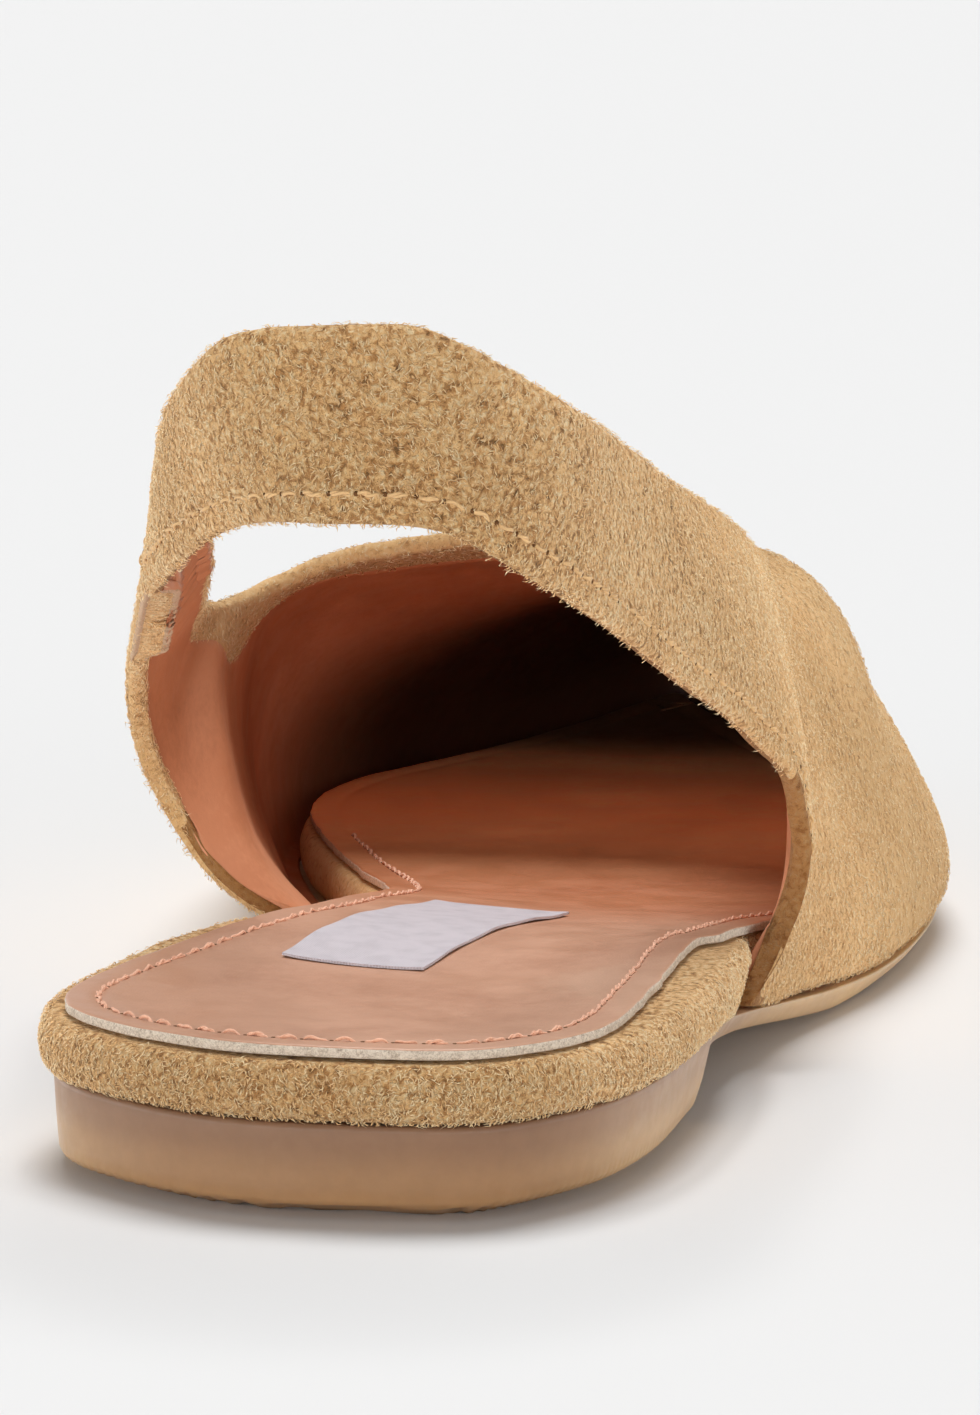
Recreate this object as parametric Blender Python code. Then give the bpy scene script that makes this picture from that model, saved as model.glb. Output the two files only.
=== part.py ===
"""Slingback ballet flat: one right shoe, empty, standing on its heel block and forefoot.

The tables are in millimetres in the shoe's own directions: `along` runs forward from the back of the
heel, `across` runs to the wearer's right (the outer side of the foot), `up` from the floor. They are
turned into metres with the toe towards -Y, the outer side towards -X and +Z up.

Pieces, in the order they are put together:
  outsole        one rubber moulding: heel block, thin waist, forefoot with toe spring
  footbed        suede-wrapped board that stands proud of the outsole round the heel
  insole_sock    full-length leather sock with a raw edge
  insole_label   small woven tab on the sock, blank
  upper          vamp, both quarters and the sling strap, one hollow wall
  sling_elastic  gathered elastic length of the strap on the inner side
"""

import bpy
import numpy as np

MM = 0.001

# ------------------------------------------------------------------ driving sizes, mm
LENGTH = 254.0            # heel to toe, on the sole
HEEL_APEX_ACROSS = 6.0    # where the outline is rearmost
TOE_APEX_ACROSS = -4.0    # where it is foremost
HEEL_BLOCK = 50.4         # the block's length
CENTRE_ALONG = 126.86     # the shoe's box is centred here
CENTRE_ACROSS = -1.21
GAP = 0.3                 # between pieces that touch
ELASTIC_GAP = 0.8         # between the elastic and the leather, in the seam's middle
WALL = 1.9                # suede, interlining and lining together
FOOTBED_THICK = 5.2
SOCK_THICK = 1.0
LABEL_THICK = 0.25
FOOT_IN = 0.6             # the upper stands this far inside the sole's edge
DISH = 0.8                # hollow of the heel seat
ARCH = 1.4                # rise of the footbed under the inner arch
EDGE_ROUND = 1.2          # height of the sole's lower edge radius

# Outline of the outsole's top edge: one row per station
SOLE_OUTLINE = (
    # along, inner side, outer side
    (2.0, -7.8, 17.8),
    (5.0, -13.4, 20.9),
    (9.0, -18.4, 23.6),
    (14.0, -23.2, 26.1),
    (22.0, -26.8, 28.4),
    (32.0, -27.9, 29.7),
    (44.0, -26.0, 30.3),
    (56.0, -22.6, 30.4),
    (68.0, -19.5, 30.2),
    (80.0, -17.5, 30.6),
    (92.0, -16.6, 32.2),
    (104.0, -17.1, 34.6),
    (116.0, -20.1, 37.0),
    (130.0, -25.6, 38.6),
    (146.0, -31.6, 39.2),
    (162.0, -36.8, 38.5),
    (178.0, -40.2, 35.9),
    (192.0, -40.0, 31.6),
    (206.0, -36.2, 25.9),
    (220.0, -29.2, 19.0),
    (233.0, -21.6, 11.6),
    (244.0, -14.4, 4.6),
    (251.0, -9.0, 0.2),
)
# Heights of the outsole's top and underside
SOLE_TOP = (
    # along, up
    (0.0, 8.8), (50.0, 8.8), (62.0, 7.9), (75.0, 6.3), (90.0, 4.6), (105.0, 3.4), (120.0, 2.9),
    (150.0, 2.7), (185.0, 2.7), (205.0, 3.2), (225.0, 5.0), (240.0, 7.1), (254.0, 9.4),
)
SOLE_UNDER = (
    # along, up (in front of the heel block)
    (51.0, 4.4), (60.0, 5.0), (72.0, 4.1), (85.0, 2.6), (98.0, 1.1), (112.0, 0.0), (186.0, 0.0),
    (205.0, 0.5), (225.0, 2.2), (240.0, 4.2), (254.0, 6.4),
)
# How far each edge stands inside the outline above (negative: proud of it)
SOLE_UNDERCUT = (
    # along, inner side, outer side
    (0.0, 0.4, 0.8), (14.0, 0.4, 1.4), (30.0, 0.6, 1.5), (50.0, 0.8, 1.9), (75.0, 1.5, 1.5),
    (100.0, 1.8, 1.5), (125.0, 2.0, 2.0), (254.0, 2.0, 2.0),
)
FOOTBED_INSET = (
    # along, inner side, outer side
    (0.0, -0.8, -0.8), (60.0, -0.8, -0.8), (70.0, -0.7, -0.5), (75.0, -0.5, 0.1), (79.0, -0.3, 1.2),
    (83.0, -0.2, 2.0), (92.0, 0.4, 2.3), (100.0, 1.2, 2.6), (106.0, 3.4, 3.0), (112.0, 4.8, 3.3),
    (130.0, 5.2, 3.7), (160.0, 4.4, 3.7), (254.0, 4.2, 4.0),
)
FOOTBED_LOW_INSET = (
    # along, inner side, outer side: the same at its lower edge, tucked in where the quarter starts
    (0.0, -0.8, -0.8), (60.0, -0.8, -0.7), (64.0, -0.8, 0.2), (69.0, -0.7, 1.6), (74.0, -0.5, 3.3),
    (80.0, -0.3, 4.0), (88.0, 0.1, 4.2), (100.0, 1.2, 4.0), (106.0, 3.4, 3.9), (112.0, 4.8, 3.9),
    (130.0, 5.2, 3.8), (160.0, 4.4, 3.7), (254.0, 4.2, 4.0),
)
SOCK_INSET = (
    # along, inner side, outer side
    (0.0, 1.2, 1.2), (10.0, 1.0, 0.9), (20.0, 1.0, 1.6), (30.0, 2.2, 2.8), (46.0, 3.7, 3.6),
    (60.0, 4.3, 3.8), (66.0, 4.3, 3.4), (71.0, 4.1, 2.4), (79.0, 3.7, 2.1), (90.0, 3.6, 2.2),
    (100.0, 4.1, 2.4), (110.0, 5.6, 2.5), (130.0, 6.3, 2.6), (156.0, 5.7, 2.7), (175.0, 5.2, 2.8),
    (200.0, 4.8, 3.2), (254.0, 4.6, 4.4),
)
# The footbed is padded under the arch and thins out under the toes
FOOTBED_PADDING = (
    # along, part of the heel's thickness
    (0.0, 1.0), (45.0, 1.0), (70.0, 1.22), (88.0, 1.28), (108.0, 1.18), (140.0, 1.0), (190.0, 1.0),
    (238.0, 0.62), (254.0, 0.6),
)
# The blank tab on the sock
LABEL = {"along": 66.4, "across": 0.0, "length": 44.0, "width": 14.2, "turn": 8.5}

# The wall of the upper: one row per rib, from the back of the strap round the outer side, the toe
# and the inner side. Every rib starts on the top line.
# An "edge" rib ends on a free lower edge, and bows outwards between its two ends.
# A "foot" rib ends on the sole's outline, and swells over it before it turns in.
UPPER_RIBS = (
    # name, kind, top (along, across, up), lower end (along, across, up), bow, lift of the bow
    ("back", "edge", (1.5, 5.0, 79.6), (0.0, 5.0, 62.2), 0.0, 0.0),
    ("back_outer", "edge", (2.6, 12.5, 79.1), (1.0, 12.7, 61.8), 0.0, 0.0),
    ("corner_outer", "edge", (8.5, 20.6, 74.3), (4.8, 18.4, 58.8), 0.3, 0.0),
    ("sling_outer_1", "edge", (24.0, 24.2, 69.0), (23.0, 24.1, 51.4), 0.5, 0.0),
    ("sling_outer_2", "edge", (45.0, 25.4, 63.5), (50.0, 28.2, 41.9), 0.6, 0.0),
    ("sling_outer_3", "edge", (68.0, 26.3, 57.8), (73.0, 31.6, 33.2), 1.0, 0.0),
    ("rear_outer_1", "edge", (86.0, 26.8, 53.6), (83.2, 33.1, 26.0), 1.4, 0.0),
    ("rear_outer_2", "edge", (104.0, 26.2, 49.2), (85.0, 33.4, 18.5), 1.9, 0.4),
    ("rear_outer_3", "edge", (116.0, 25.2, 46.8), (82.6, 32.4, 12.2), 2.7, 1.7),
    ("rear_outer_4", "edge", (123.5, 24.4, 45.6), (79.9, 31.2, 9.0), 3.2, 2.7),
    # name, kind, top (along, across, up), foot along, side, swell, swell height, shoulder, crown, lean
    ("foot_outer_1", "foot", (130.0, 23.2, 44.9), 77.0, +1, 1.9, 6.5, 0.62, 5.2, 8.0),
    ("foot_outer_2", "foot", (137.0, 21.7, 44.7), 92.0, +1, 1.8, 6.0, 0.66, 6.2, 6.0),
    ("foot_outer_3", "foot", (143.0, 19.3, 44.4), 115.0, +1, 1.4, 3.8, 0.74, 6.8, 3.2),
    ("ball_outer_1", "foot", (147.3, 16.2, 44.3), 140.0, +1, 1.5, 3.2, 0.75, 6.5, 1.0),
    ("ball_outer_2", "foot", (149.4, 12.8, 44.3), 165.0, +1, 1.7, 3.2, 0.72, 5.4, 0.0),
    ("toe_outer_1", "foot", (150.3, 8.6, 44.6), 190.0, +1, 1.7, 4.6, 0.66, 4.9, 0.0),
    ("toe_outer_2", "foot", (150.6, 4.2, 44.9), 213.0, +1, 1.6, 7.4, 0.6, 4.4, 0.0),
    ("toe_outer_3", "foot", (150.7, -0.2, 45.0), 235.0, +1, 1.3, 6.6, 0.58, 3.4, 0.0),
    ("toe", "foot", (150.7, -4.5, 45.0), 254.0, +1, 0.7, 6.2, 0.58, 3.0, 0.0),
    ("toe_inner_3", "foot", (150.6, -8.8, 44.8), 242.0, -1, 1.3, 6.8, 0.58, 3.4, 0.0),
    ("toe_inner_2", "foot", (150.4, -13.4, 44.4), 225.0, -1, 1.9, 7.6, 0.58, 4.2, 0.0),
    ("toe_inner_1", "foot", (150.0, -18.4, 43.7), 207.0, -1, 2.4, 8.5, 0.58, 5.0, 0.0),
    ("ball_inner_2", "foot", (149.6, -23.6, 42.8), 190.0, -1, 2.6, 9.0, 0.58, 6.0, 0.0),
    ("ball_inner_1", "foot", (149.0, -28.4, 41.3), 172.0, -1, 3.0, 9.0, 0.58, 6.0, 0.0),
    ("foot_inner_3", "foot", (146.8, -32.8, 39.5), 154.0, -1, 4.4, 9.5, 0.58, 5.0, 0.0),
    ("foot_inner_2", "foot", (141.5, -35.8, 38.3), 135.0, -1, 7.4, 10.0, 0.58, 4.0, 0.8),
    ("foot_inner_1", "foot", (132.5, -36.6, 38.4), 116.0, -1, 11.0, 10.0, 0.58, 4.0, 2.5),
    ("rear_inner_3", "edge", (123.0, -36.2, 39.8), (109.5, -29.0, 9.8), 4.5, 1.6),
    ("rear_inner_2", "edge", (113.5, -34.4, 41.4), (110.0, -35.2, 16.5), 3.4, 0.7),
    ("rear_inner_1", "edge", (104.5, -31.8, 43.6), (106.0, -38.2, 24.5), 2.6, 0.2),
    ("seam_inner", "edge", (95.0, -29.2, 46.4), (98.0, -37.2, 33.3), 2.1, 0.0),
    ("elastic_front", "edge", (86.0, -26.9, 49.2), (88.0, -34.9, 37.6), 1.7, 0.0),
    ("elastic_mid", "edge", (68.0, -23.4, 55.2), (68.0, -29.4, 44.6), 1.3, 0.0),
    ("elastic_back", "edge", (50.0, -21.0, 61.0), (46.0, -23.4, 49.8), 1.1, 0.0),
    ("sling_inner_2", "edge", (36.0, -19.2, 65.5), (33.0, -18.8, 53.0), 1.0, 0.0),
    ("sling_inner_1", "edge", (23.0, -16.2, 69.8), (20.5, -13.6, 56.8), 0.8, 0.0),
    ("corner_inner", "edge", (10.0, -11.0, 74.8), (9.5, -6.2, 60.6), 0.4, 0.0),
    ("back_inner", "edge", (3.0, -3.4, 78.9), (2.0, 0.4, 61.9), 0.0, 0.0),
)
RIB_STEPS = 3             # columns of faces between two ribs
TOE_STEPS = 6             # the same round the point of the toe
# Rows of faces, as parts of a rib's length from the top line down
WALL_ROWS = (0, 0.1, 0.21, 0.32, 0.43, 0.54, 0.64, 0.73, 0.81, 0.875, 0.925, 0.965, 1)

# colour, roughness
FINISH = {
    "outsole": ((0.33, 0.22, 0.13), 0.42),
    "footbed": ((0.50, 0.33, 0.16), 0.92),
    "insole_sock": ((0.58, 0.34, 0.24), 0.50),
    "insole_label": ((0.82, 0.80, 0.82), 0.70),
    "upper": ((0.50, 0.33, 0.16), 0.92),
    "sling_elastic": ((0.46, 0.30, 0.15), 0.92),
}


# ------------------------------------------------------------------ curves
def eased(table, column, at):
    """A smooth curve through a table's first column and another, with no overshoot."""
    xs = np.array([row[0] for row in table], float)
    ys = np.array([row[column] for row in table], float)
    at = np.clip(np.asarray(at, float), xs[0], xs[-1])
    step = np.diff(xs)
    rise = np.diff(ys) / step
    slope = np.zeros(len(xs))
    slope[0], slope[-1] = rise[0], rise[-1]
    for i in range(1, len(xs) - 1):
        if rise[i - 1] * rise[i] > 0:
            a, b = 2 * step[i] + step[i - 1], step[i] + 2 * step[i - 1]
            slope[i] = (a + b) / (a / rise[i - 1] + b / rise[i])
    i = np.clip(np.searchsorted(xs, at, side="right") - 1, 0, len(xs) - 2)
    t = (at - xs[i]) / step[i]
    return (
        (1 + 2 * t) * (1 - t) ** 2 * ys[i]
        + t * (1 - t) ** 2 * step[i] * slope[i]
        + t * t * (3 - 2 * t) * ys[i + 1]
        + t * t * (t - 1) * step[i] * slope[i + 1]
    )


def spline(knots, values, at, period=None):
    """Cubic spline through the rows of values, closed on itself if it has a period."""
    n = len(knots)
    at = np.asarray(at, float)
    matrix, right = np.zeros((n, n)), np.zeros((n,) + values.shape[1:])
    if period:
        step = np.diff(np.append(knots, knots[0] + period))
        at = (at - knots[0]) % period + knots[0]
    else:
        step = np.diff(knots)
        matrix[0, 0] = matrix[-1, -1] = 1
    for i in range(n) if period else range(1, n - 1):
        a, b, j = step[i - 1], step[i], (i + 1) % n
        matrix[i, i - 1] += a
        matrix[i, i] += 2 * (a + b)
        matrix[i, j] += b
        right[i] = 6 * ((values[j] - values[i]) / b - (values[i] - values[i - 1]) / a)
    bend = np.linalg.solve(matrix, right)
    i = np.clip(np.searchsorted(knots, at, side="right") - 1, 0, len(step) - 1)
    j = (i + 1) % n
    h, d = step[i][:, None], (at - knots[i])[:, None]
    e = h - d
    return (
        (bend[i] * e**3 + bend[j] * d**3) / (6 * h)
        + (values[i] / h - bend[i] * h / 6) * e
        + (values[j] / h - bend[j] * h / 6) * d
    )


def run_of(points, power=1.0):
    """Distance along a row of points, from 0."""
    return np.concatenate([[0], np.cumsum(np.linalg.norm(np.diff(points, axis=0), axis=1) ** power)])


# ------------------------------------------------------------------ the sole's outline
def outline(side, at):
    """Points (along, across) of the outline, at 0 (heel) to 1 (toe) on the inner (-1) or outer (+1) side."""
    rows = np.array(SOLE_OUTLINE)
    ends = [(0.0, HEEL_APEX_ACROSS)], [(LENGTH, TOE_APEX_ACROSS)]
    outer = np.vstack([ends[0], rows[:, [0, 2]], ends[1]])
    inner = np.vstack([ends[0], rows[:, [0, 1]], ends[1]])
    knots = (run_of(outer) + run_of(inner)) / 2
    half = knots[-1]
    closed = np.concatenate([knots, 2 * half - knots[1:-1][::-1]])
    points = np.vstack([outer, inner[1:-1][::-1]])
    at = np.asarray(at, float) * half
    return spline(closed, points, at if side > 0 else 2 * half - at, period=2 * half)


FINE = np.linspace(0, 1, 3001)
SIDE = {side: outline(side, FINE) for side in (-1, +1)}


def outward(side, at):
    """Unit normals that point out of the outline."""
    ahead, behind = outline(side, np.minimum(at + 5e-4, 1)), outline(side, np.maximum(at - 5e-4, 0))
    run = ahead - behind
    out = np.stack([-run[:, 1], run[:, 0]], 1) * side
    out /= np.linalg.norm(out, axis=1)[:, None]
    out[np.asarray(at) <= 0] = (-1, 0)
    out[np.asarray(at) >= 1] = (1, 0)
    return out


def station(side, along):
    """Where on the outline, 0 to 1, a distance along the shoe is reached."""
    return np.interp(along, SIDE[side][:, 0], FINE)


def inset_edge(side, at, table):
    """The outline moved inwards by a table of (along, inner side, outer side)."""
    points = outline(side, at)
    return points - outward(side, at) * eased(table, 2 if side > 0 else 1, points[:, 0])[:, None]


def sole_top(along):
    return eased(SOLE_TOP, 1, along)


def sole_under(along):
    along = np.asarray(along, float)
    return np.where(along < HEEL_BLOCK, 0.0, eased(SOLE_UNDER, 1, along))


def ramp(at, start, end):
    """0 before start and 1 after end, smooth between. It falls if end is below start."""
    t = np.clip((np.asarray(at, float) - start) / (end - start), 0, 1)
    return t * t * (3 - 2 * t)


def footbed_top(along, across):
    """Height of the footbed: hollow under the heel, and raised along the inner arch."""
    top = sole_top(along) + GAP + FOOTBED_THICK * eased(FOOTBED_PADDING, 1, along)
    seat = ramp(along, 4, 24) * ramp(along, 78, 38)
    middle = np.clip(1 - ((np.asarray(across) - 1.5) / 25) ** 2, 0, 1)
    arch = ramp(along, 30, 66) * ramp(along, 132, 98) * ramp(across, 12, -22)
    return top - DISH * seat * middle + ARCH * arch


# ------------------------------------------------------------------ mesh making
def to_world(points):
    points = np.asarray(points, float)
    return np.stack(
        [CENTRE_ACROSS - points[:, 1], CENTRE_ALONG - points[:, 0], points[:, 2]], 1
    ) * MM


def add_piece(name, points, faces):
    """One named object with its own material, its faces turned outwards."""
    mesh = bpy.data.meshes.new(name)
    mesh.from_pydata([tuple(p) for p in to_world(points)], [], [tuple(f) for f in faces])
    mesh.validate()
    obj = bpy.data.objects.new(name, mesh)
    bpy.context.scene.collection.objects.link(obj)
    corner = np.array([v.co for v in mesh.vertices])
    mesh.calc_loop_triangles()
    volume = sum(np.linalg.det(corner[list(t.vertices)]) for t in mesh.loop_triangles)
    if volume < 0:
        mesh.flip_normals()
    mesh.shade_smooth()
    mesh.set_sharp_from_angle(angle=np.radians(38))
    colour, rough = FINISH[name]
    material = bpy.data.materials.new(name)
    material.use_nodes = True
    shader = material.node_tree.nodes["Principled BSDF"]
    shader.inputs["Base Color"].default_value = (*colour, 1)
    shader.inputs["Roughness"].default_value = rough
    shader.inputs["Metallic"].default_value = 0
    material.diffuse_color = (*colour, 1)
    mesh.materials.append(material)
    return obj


def plate(name, rungs, levels, columns):
    """A closed plate inside an outline. Rungs are pairs of places on the inner and outer side, and
    each level, bottom first, is (inset table, part of the inset, height of a point)."""
    points, loops, grids = [], [], []

    def put(rows, height):
        first = len(points)
        points.extend((a, c, h) for (a, c), h in zip(rows, height(rows[:, 0], rows[:, 1])))
        return list(range(first, len(points)))

    inner_at, outer_at = np.array(rungs).T
    for number, (table, share, height) in enumerate(levels):
        scaled = [(row[0], row[1] * share, row[2] * share) for row in table]
        heel, toe = (inset_edge(1, np.array([end]), scaled) for end in (0.0, 1.0))
        inner = inset_edge(-1, inner_at, scaled)
        outer = inset_edge(+1, outer_at, scaled)
        ids = put(np.vstack([heel, outer, toe, inner[::-1]]), height)
        n = len(rungs)
        outer_ids, inner_ids = ids[1 : n + 1], ids[n + 2 :][::-1]
        loops.append(ids)
        if number not in (0, len(levels) - 1):
            continue
        grid = []
        for k in range(n):
            share_across = np.linspace(0, 1, columns + 1)[1:-1, None]
            middle = put(inner[k] + (outer[k] - inner[k]) * share_across, height)
            grid.append([inner_ids[k], *middle, outer_ids[k]])
        grids.append((ids[0], grid, ids[n + 1]))
    faces = []
    for low, high in zip(loops, loops[1:]):
        for i in range(len(low)):
            j = (i + 1) % len(low)
            faces.append((low[i], low[j], high[j], high[i]))
    for (heel, grid, toe), turn in zip(grids, (1, -1)):
        cap = [(heel, grid[0][i], grid[0][i + 1]) for i in range(columns)]
        for row, after in zip(grid, grid[1:]):
            cap += [(row[i], after[i], after[i + 1], row[i + 1]) for i in range(columns)]
        cap += [(grid[-1][i], toe, grid[-1][i + 1]) for i in range(columns)]
        faces += [face[::turn] for face in cap]
    return add_piece(name, points, faces)


def rungs_at(alongs):
    return [(float(station(-1, a)), float(station(+1, a))) for a in alongs]


HEEL_ROUND = [0.25, 0.9, 2.0, 3.6, 5.8, 8.6, 12.0, 16.0, 21.0, 27.0, 34.0, 42.0]
TOE_ROUND = [240.0, 245.0, 248.5, 251.0, 252.7, 253.6]


# ------------------------------------------------------------------ the upper's wall
def rib_controls():
    """Four points for each rib: top line, shoulder, swell, lower end."""
    ribs = []
    for row in UPPER_RIBS:
        top = np.array(row[2])
        if row[1] == "edge":
            _, _, _, low, bow, lift = row
            low = np.array(low)
            out = np.array([0.0, np.sign(top[1] + low[1] - 10.0) * bow, lift])
            ribs.append([top, top + (low - top) * 0.36 + out, top + (low - top) * 0.8 + out * 0.8, low])
        else:
            _, _, _, along, side, swell, rise, part, crown, lean = row
            at = np.array([1.0 if along >= LENGTH else station(side, along)])
            out = np.append(outward(side, at)[0], 0.0)
            foot = np.append(outline(side, at)[0], 0.0) - out * FOOT_IN
            foot[2] = sole_top(foot[0]) + GAP
            swollen = foot + out * swell + np.array([lean, 0, rise])
            shoulder = swollen + (top - swollen) * part + (out + (0, 0, 1)) * crown / np.sqrt(2)
            ribs.append([top, shoulder, swollen, foot])
    return np.array(ribs)


RIBS = rib_controls()
RIB_GAPS = np.linalg.norm(np.roll(RIBS, -1, axis=0) - RIBS, axis=2).mean(1)
RIB_AT = np.concatenate([[0], np.cumsum(RIB_GAPS)])
ROUND = RIB_AT[-1]
RIB_NAMES = [row[0] for row in UPPER_RIBS]


def place(name):
    return RIB_AT[RIB_NAMES.index(name)]


def wall_points(around, down):
    """Points of the outer surface: around the ring in mm, and down each rib from 0 to 1."""
    controls = spline(RIB_AT[:-1], RIBS.reshape(len(RIBS), -1), around, period=ROUND).reshape(-1, 4, 3)
    grid = []
    for rib in controls:
        knots = run_of(rib, 0.6)
        fine = spline(knots, rib, np.linspace(0, knots[-1], 161))
        length = run_of(fine)
        grid.append(
            np.stack([np.interp(np.asarray(down) * length[-1], length, fine[:, k]) for k in range(3)], 1)
        )
    return np.array(grid)


def wall_normals(around, down):
    around, down = np.asarray(around), np.asarray(down)
    # Round the ring the slope is taken no lower than this: the lower edge turns back on itself at the
    # quarters' rear corners
    level = np.minimum(down, 0.84)
    du = wall_points(around + 0.5, level) - wall_points(around - 0.5, level)
    dv = wall_points(around, np.minimum(down + 0.01, 1)) - wall_points(around, np.maximum(down - 0.01, 0))
    out = np.cross(dv, du)
    return out / np.linalg.norm(out, axis=2)[:, :, None]


def wall_piece(name, around):
    """The wall along the given places on the ring, closed at both ends."""
    down = np.array(WALL_ROWS)
    columns = len(around) - 1
    outer = wall_points(around, down)
    normal = wall_normals(around, down)
    middle = wall_points(np.full(1, place("ball_outer_1")), np.array([0.8]))[0, 0]
    hub = np.array([middle[0], 0.0, middle[2]])
    if np.dot(wall_normals(np.full(1, place("ball_outer_1")), np.array([0.8]))[0, 0], middle - hub) < 0:
        normal = -normal
    inner = outer - normal * WALL
    # Where the wall comes down to the sole, its edge lies level with it
    level = normal[:, -1] * (1, 1, 0)
    size = np.linalg.norm(level, axis=1)[:, None]
    resting = outer[:, -1] - level / size * WALL * np.minimum(1 / size, 1.5)
    near = ramp(outer[:, -1, 2] - sole_top(outer[:, -1, 0]), 4.0, 0.8)[:, None]
    inner[:, -1] = near * resting + (1 - near) * inner[:, -1]
    for sheet in (outer, inner):
        sheet[:, :, 2] = np.maximum(sheet[:, :, 2], sole_top(sheet[:, :, 0]) + GAP)
    rows = len(down)
    points = np.concatenate([outer.reshape(-1, 3), inner.reshape(-1, 3)])
    shift = outer.shape[0] * rows
    faces = []
    for i in range(columns):
        for j in range(rows - 1):
            a, b, c, d = i * rows + j, (i + 1) * rows + j, (i + 1) * rows + j + 1, i * rows + j + 1
            faces += [(a, b, c, d), (d + shift, c + shift, b + shift, a + shift)]
        for j, turn in ((0, -1), (rows - 1, 1)):
            a, b = i * rows + j, (i + 1) * rows + j
            faces.append((a, b, b + shift, a + shift)[::turn])
    for i, turn in ((0, 1), (columns, -1)):
        for j in range(rows - 1):
            a, b = i * rows + j, i * rows + j + 1
            faces.append((a, b, b + shift, a + shift)[::turn])
    return add_piece(name, points, faces)


# ------------------------------------------------------------------ build
def build_outsole():
    alongs = HEEL_ROUND + [HEEL_BLOCK - 0.4, HEEL_BLOCK + 0.4, 54, 60, 67, 74, 82, 90, 98, 108]
    alongs += [118, 130, 142, 154, 166, 178, 186, 196, 206, 216, 226, 234] + TOE_ROUND
    levels = [
        (SOLE_UNDERCUT, 1.0, lambda a, c: sole_under(a)),
        (SOLE_UNDERCUT, 0.55, lambda a, c: sole_under(a) + EDGE_ROUND),
        (SOLE_UNDERCUT, 0.0, lambda a, c: sole_top(a)),
    ]
    plate("outsole", rungs_at(alongs), levels, 6)


def build_footbed():
    alongs = HEEL_ROUND + [50, 57, 63, 66, 69, 72, 75, 78, 81, 84, 87, 91, 96, 100, 104, 108, 113]
    alongs += [120, 130, 142, 154, 166, 178, 190, 202, 214, 225, 233] + TOE_ROUND

    def share(part):
        return lambda a, c: (1 - part) * (sole_top(a) + GAP) + part * footbed_top(a, c)

    def drawn_in(table):
        return [(row[0], row[1] + 0.9, row[2] + 0.9) for row in table]

    levels = [
        (drawn_in(FOOTBED_LOW_INSET), 1.0, share(0.0)),
        (FOOTBED_LOW_INSET, 1.0, share(0.24)),
        (FOOTBED_INSET, 1.0, share(0.76)),
        (drawn_in(FOOTBED_INSET), 1.0, share(1.0)),
    ]
    plate("footbed", rungs_at(alongs), levels, 8)


def sock_top(along, across):
    return footbed_top(along, across) + GAP + SOCK_THICK


def build_sock():
    alongs = HEEL_ROUND + [50, 58, 66, 72, 78, 84, 90, 98, 108, 118, 130, 142, 154, 166, 178, 190]
    alongs += [202, 214, 225, 233] + TOE_ROUND
    levels = [
        (SOCK_INSET, 1.0, lambda a, c: sock_top(a, c) - SOCK_THICK),
        (SOCK_INSET, 1.0, sock_top),
    ]
    plate("insole_sock", rungs_at(alongs), levels, 8)


def build_label():
    """A thin rectangle that lies along the sock's surface."""
    turn = np.radians(LABEL["turn"])
    ahead = np.array([np.cos(turn), np.sin(turn)])
    aside = np.array([-np.sin(turn), np.cos(turn)])
    middle = np.array([LABEL["along"], LABEL["across"]])
    long_steps, wide_steps = 10, 4
    points, faces = [], []
    for lift in (GAP, GAP + LABEL_THICK):
        for i in range(long_steps + 1):
            for j in range(wide_steps + 1):
                a, c = (
                    middle
                    + ahead * LABEL["length"] * (i / long_steps - 0.5)
                    + aside * LABEL["width"] * (j / wide_steps - 0.5)
                )
                points.append((a, c, float(sock_top(a, c)) + lift))
    wide = wide_steps + 1
    shift = (long_steps + 1) * wide
    for i in range(long_steps):
        for j in range(wide_steps):
            a = i * wide + j
            faces += [(a, a + 1, a + wide + 1, a + wide)]
            faces += [(a + shift, a + shift + wide, a + shift + wide + 1, a + shift + 1)]
    rim = [i * wide for i in range(long_steps)] + [long_steps * wide + j for j in range(wide_steps)]
    rim += [i * wide + wide_steps for i in range(long_steps, 0, -1)] + list(range(wide_steps, 0, -1))
    for a, b in zip(rim, rim[1:] + rim[:1]):
        faces.append((a, b, b + shift, a + shift))
    add_piece("insole_label", points, faces)


def build_upper():
    """The wall from the rear end of the elastic, round the strap and the toe, to its front end."""
    start = place("elastic_back") - ROUND + ELASTIC_GAP / 2
    end = place("elastic_front") - ELASTIC_GAP / 2
    marks = [start, *[at for at in (*(RIB_AT[:-1] - ROUND), *RIB_AT[:-1]) if start + 1 < at < end - 1], end]
    around = [start]
    for low, high in zip(marks, marks[1:]):
        steps = TOE_STEPS if place("toe_outer_2") - 1 < low < place("toe_inner_2") - 1 else RIB_STEPS
        around += list(np.linspace(low, high, steps + 1)[1:])
    wall_piece("upper", np.array(around))


def build_elastic():
    start, end = place("elastic_front") + ELASTIC_GAP / 2, place("elastic_back") - ELASTIC_GAP / 2
    wall_piece("sling_elastic", np.linspace(start, end, 9))


for old in list(bpy.data.objects):
    bpy.data.objects.remove(old, do_unlink=True)
build_outsole()
build_footbed()
build_sock()
build_label()
build_upper()
build_elastic()
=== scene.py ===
"""Looks of the slingback ballet flat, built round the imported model.

Shapes are worked out in millimetres in the shoe's own directions: `along` runs forward from the back
of the heel, `across` to the wearer's right (the outer side), `up` from the floor. They are placed in
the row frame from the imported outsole's box.
"""

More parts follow.
